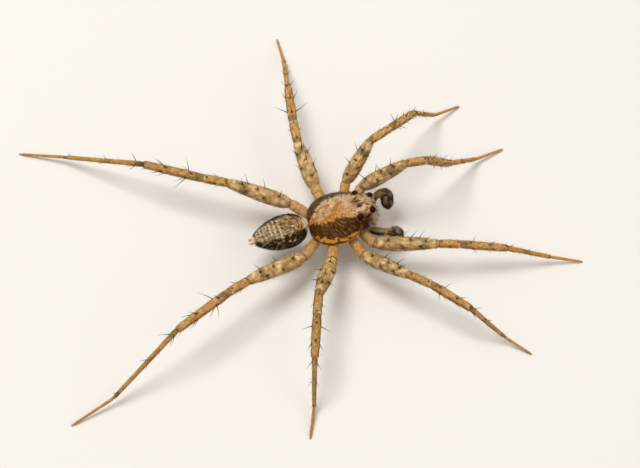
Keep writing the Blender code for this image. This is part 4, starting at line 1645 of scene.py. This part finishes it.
class SPIDER_OT_jaws(bpy.types.Operator):
    """Chelicerae with their hair and fangs"""

    bl_idname = "spider.jaws"
    bl_label = "Jaws"

    def execute(self, context):
        materials = region_materials("jaw", "under", 0.4)
        fang = glossy_material("fang", colour_settings().fang)
        for label, side in SIDES:
            name = f"{label}_chelicera"
            dress(name, chelicera_surface(side), materials, [name], FACE_HAIRS, 104 + side)
            add_skin(f"{label}_fang_skin", [fang_surface(side)], fang, [f"{label}_fang"])
        return {"FINISHED"}


class SPIDER_OT_palps(bpy.types.Operator):
    """Palps with their swollen, dark-haired tips"""

    bl_idname = "spider.palps"
    bl_label = "Palps"

    def execute(self, context):
        materials = region_materials("palp", "palp", 0.45)
        for label, side in SIDES:
            name = f"{label}_palp"
            nodes = [name, f"{name}_cymbium"]
            dress(name, palp_surface(label), materials, nodes, PALP_HAIRS, 108 + side)
        return {"FINISHED"}


class SPIDER_OT_legs(bpy.types.Operator):
    """Eight legs, each one skin from coxa to claws, with coat and spines"""

    bl_idname = "spider.legs"
    bl_label = "Legs"

    def execute(self, context):
        materials = region_materials("leg", "leg", 0.5, streaks=(60.0, 22.0))
        spine = glossy_material("spine", colour_settings().spine, 0.4, 0.15)
        for label, side in SIDES:
            for pair in HIPS:
                name = f"{label}_leg_{pair}"
                nodes = [f"{name}_{part}" for part in ("coxa", "femur", "tibia", "foot")]
                seed = 200 + 10 * pair + side
                dress(name, leg_surface(label, pair), materials, nodes, LEG_HAIRS, seed)
                add_spines(label, pair, spine)
        return {"FINISHED"}


class SPIDER_OT_stage(bpy.types.Operator):
    """Plain pale floor, soft studio light and the camera"""

    bl_idname = "spider.stage"
    bl_label = "Stage"

    def execute(self, context):
        settings = stage_settings()
        self.add_floor(settings)
        self.add_lights(settings)
        self.add_camera(settings)
        context.scene.view_settings.view_transform = "Standard"
        return {"FINISHED"}

    def add_floor(self, settings):
        bm = bmesh.new()
        bmesh.ops.create_grid(bm, x_segments=1, y_segments=1, size=1.5)
        mesh = bpy.data.meshes.new("floor")
        bm.to_mesh(mesh)
        bm.free()
        material, _, shader = shader_material("floor", 0.9, 0.1)
        shader.inputs["Base Color"].default_value = (*settings.floor, 1)
        mesh.materials.append(material)
        floor = bpy.data.objects.new("floor", mesh)
        bpy.context.scene.collection.objects.link(floor)

    def add_lights(self, settings):
        for name, (size, place) in LAMPS.items():
            light = bpy.data.lights.new(name, "AREA")
            light.energy = getattr(settings, name)
            light.size = size
            lamp = bpy.data.objects.new(name, light)
            lamp.location = place
            lamp.rotation_euler = (-Vector(place)).to_track_quat("-Z", "Y").to_euler()
            bpy.context.scene.collection.objects.link(lamp)
        world = bpy.data.worlds.new("studio")
        world.use_nodes = True
        background = world.node_tree.nodes["Background"]
        background.inputs["Color"].default_value = (1.0, 0.97, 0.91, 1)
        background.inputs["Strength"].default_value = settings.sky
        bpy.context.scene.world = world

    def add_camera(self, settings):
        camera = bpy.data.cameras.new("camera")
        camera.sensor_width = 36.0
        camera.lens = LENS
        camera.clip_start = 0.01
        camera.clip_end = 5.0
        eye = bpy.data.objects.new("camera", camera)
        bpy.context.scene.collection.objects.link(eye)
        aim = (ORIGIN + Vector(CAMERA_AIM)) * MM
        turn, rise = settings.turn, settings.elevation
        level = math.cos(rise)
        back = Vector((-level * math.sin(turn), -level * math.cos(turn), math.sin(rise)))
        eye.location = aim + back * settings.distance
        eye.rotation_euler = (-back).to_track_quat("-Z", "Y").to_euler()
        bpy.context.scene.camera = eye


OPERATORS = (
    SPIDER_OT_stage,
    SPIDER_OT_shield,
    SPIDER_OT_eyes,
    SPIDER_OT_jaws,
    SPIDER_OT_palps,
    SPIDER_OT_underside,
    SPIDER_OT_abdomen,
    SPIDER_OT_legs,
)


class SPIDER_PT_panel(bpy.types.Panel):
    """Lists the spider's pieces and settings"""

    bl_label = "Wolf Spider"
    bl_space_type = "VIEW_3D"
    bl_region_type = "UI"
    bl_category = "Wolf Spider"

    def draw(self, context):
        for operator in OPERATORS:
            self.layout.operator(operator.bl_idname)
        for settings in (coat_settings(), stage_settings(), colour_settings()):
            box = self.layout.box()
            for name in settings.bl_rna.properties.keys():
                if name not in ("rna_type", "name"):
                    box.prop(settings, name)


SETTINGS = (
    ("spider_colours", SpiderColours),
    ("spider_coat", SpiderCoat),
    ("spider_stage", SpiderStage),
)


def register():
    for name, group in SETTINGS:
        bpy.utils.register_class(group)
        setattr(bpy.types.Scene, name, bpy.props.PointerProperty(type=group))
    for operator in OPERATORS:
        bpy.utils.register_class(operator)
    bpy.utils.register_class(SPIDER_PT_panel)


def unregister():
    bpy.utils.unregister_class(SPIDER_PT_panel)
    for operator in reversed(OPERATORS):
        bpy.utils.unregister_class(operator)
    for name, group in reversed(SETTINGS):
        delattr(bpy.types.Scene, name)
        bpy.utils.unregister_class(group)


def main():
    register()
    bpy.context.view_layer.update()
    for operator in OPERATORS:
        family, piece = operator.bl_idname.split(".")
        getattr(getattr(bpy.ops, family), piece)()


if __name__ == "__main__":
    main()
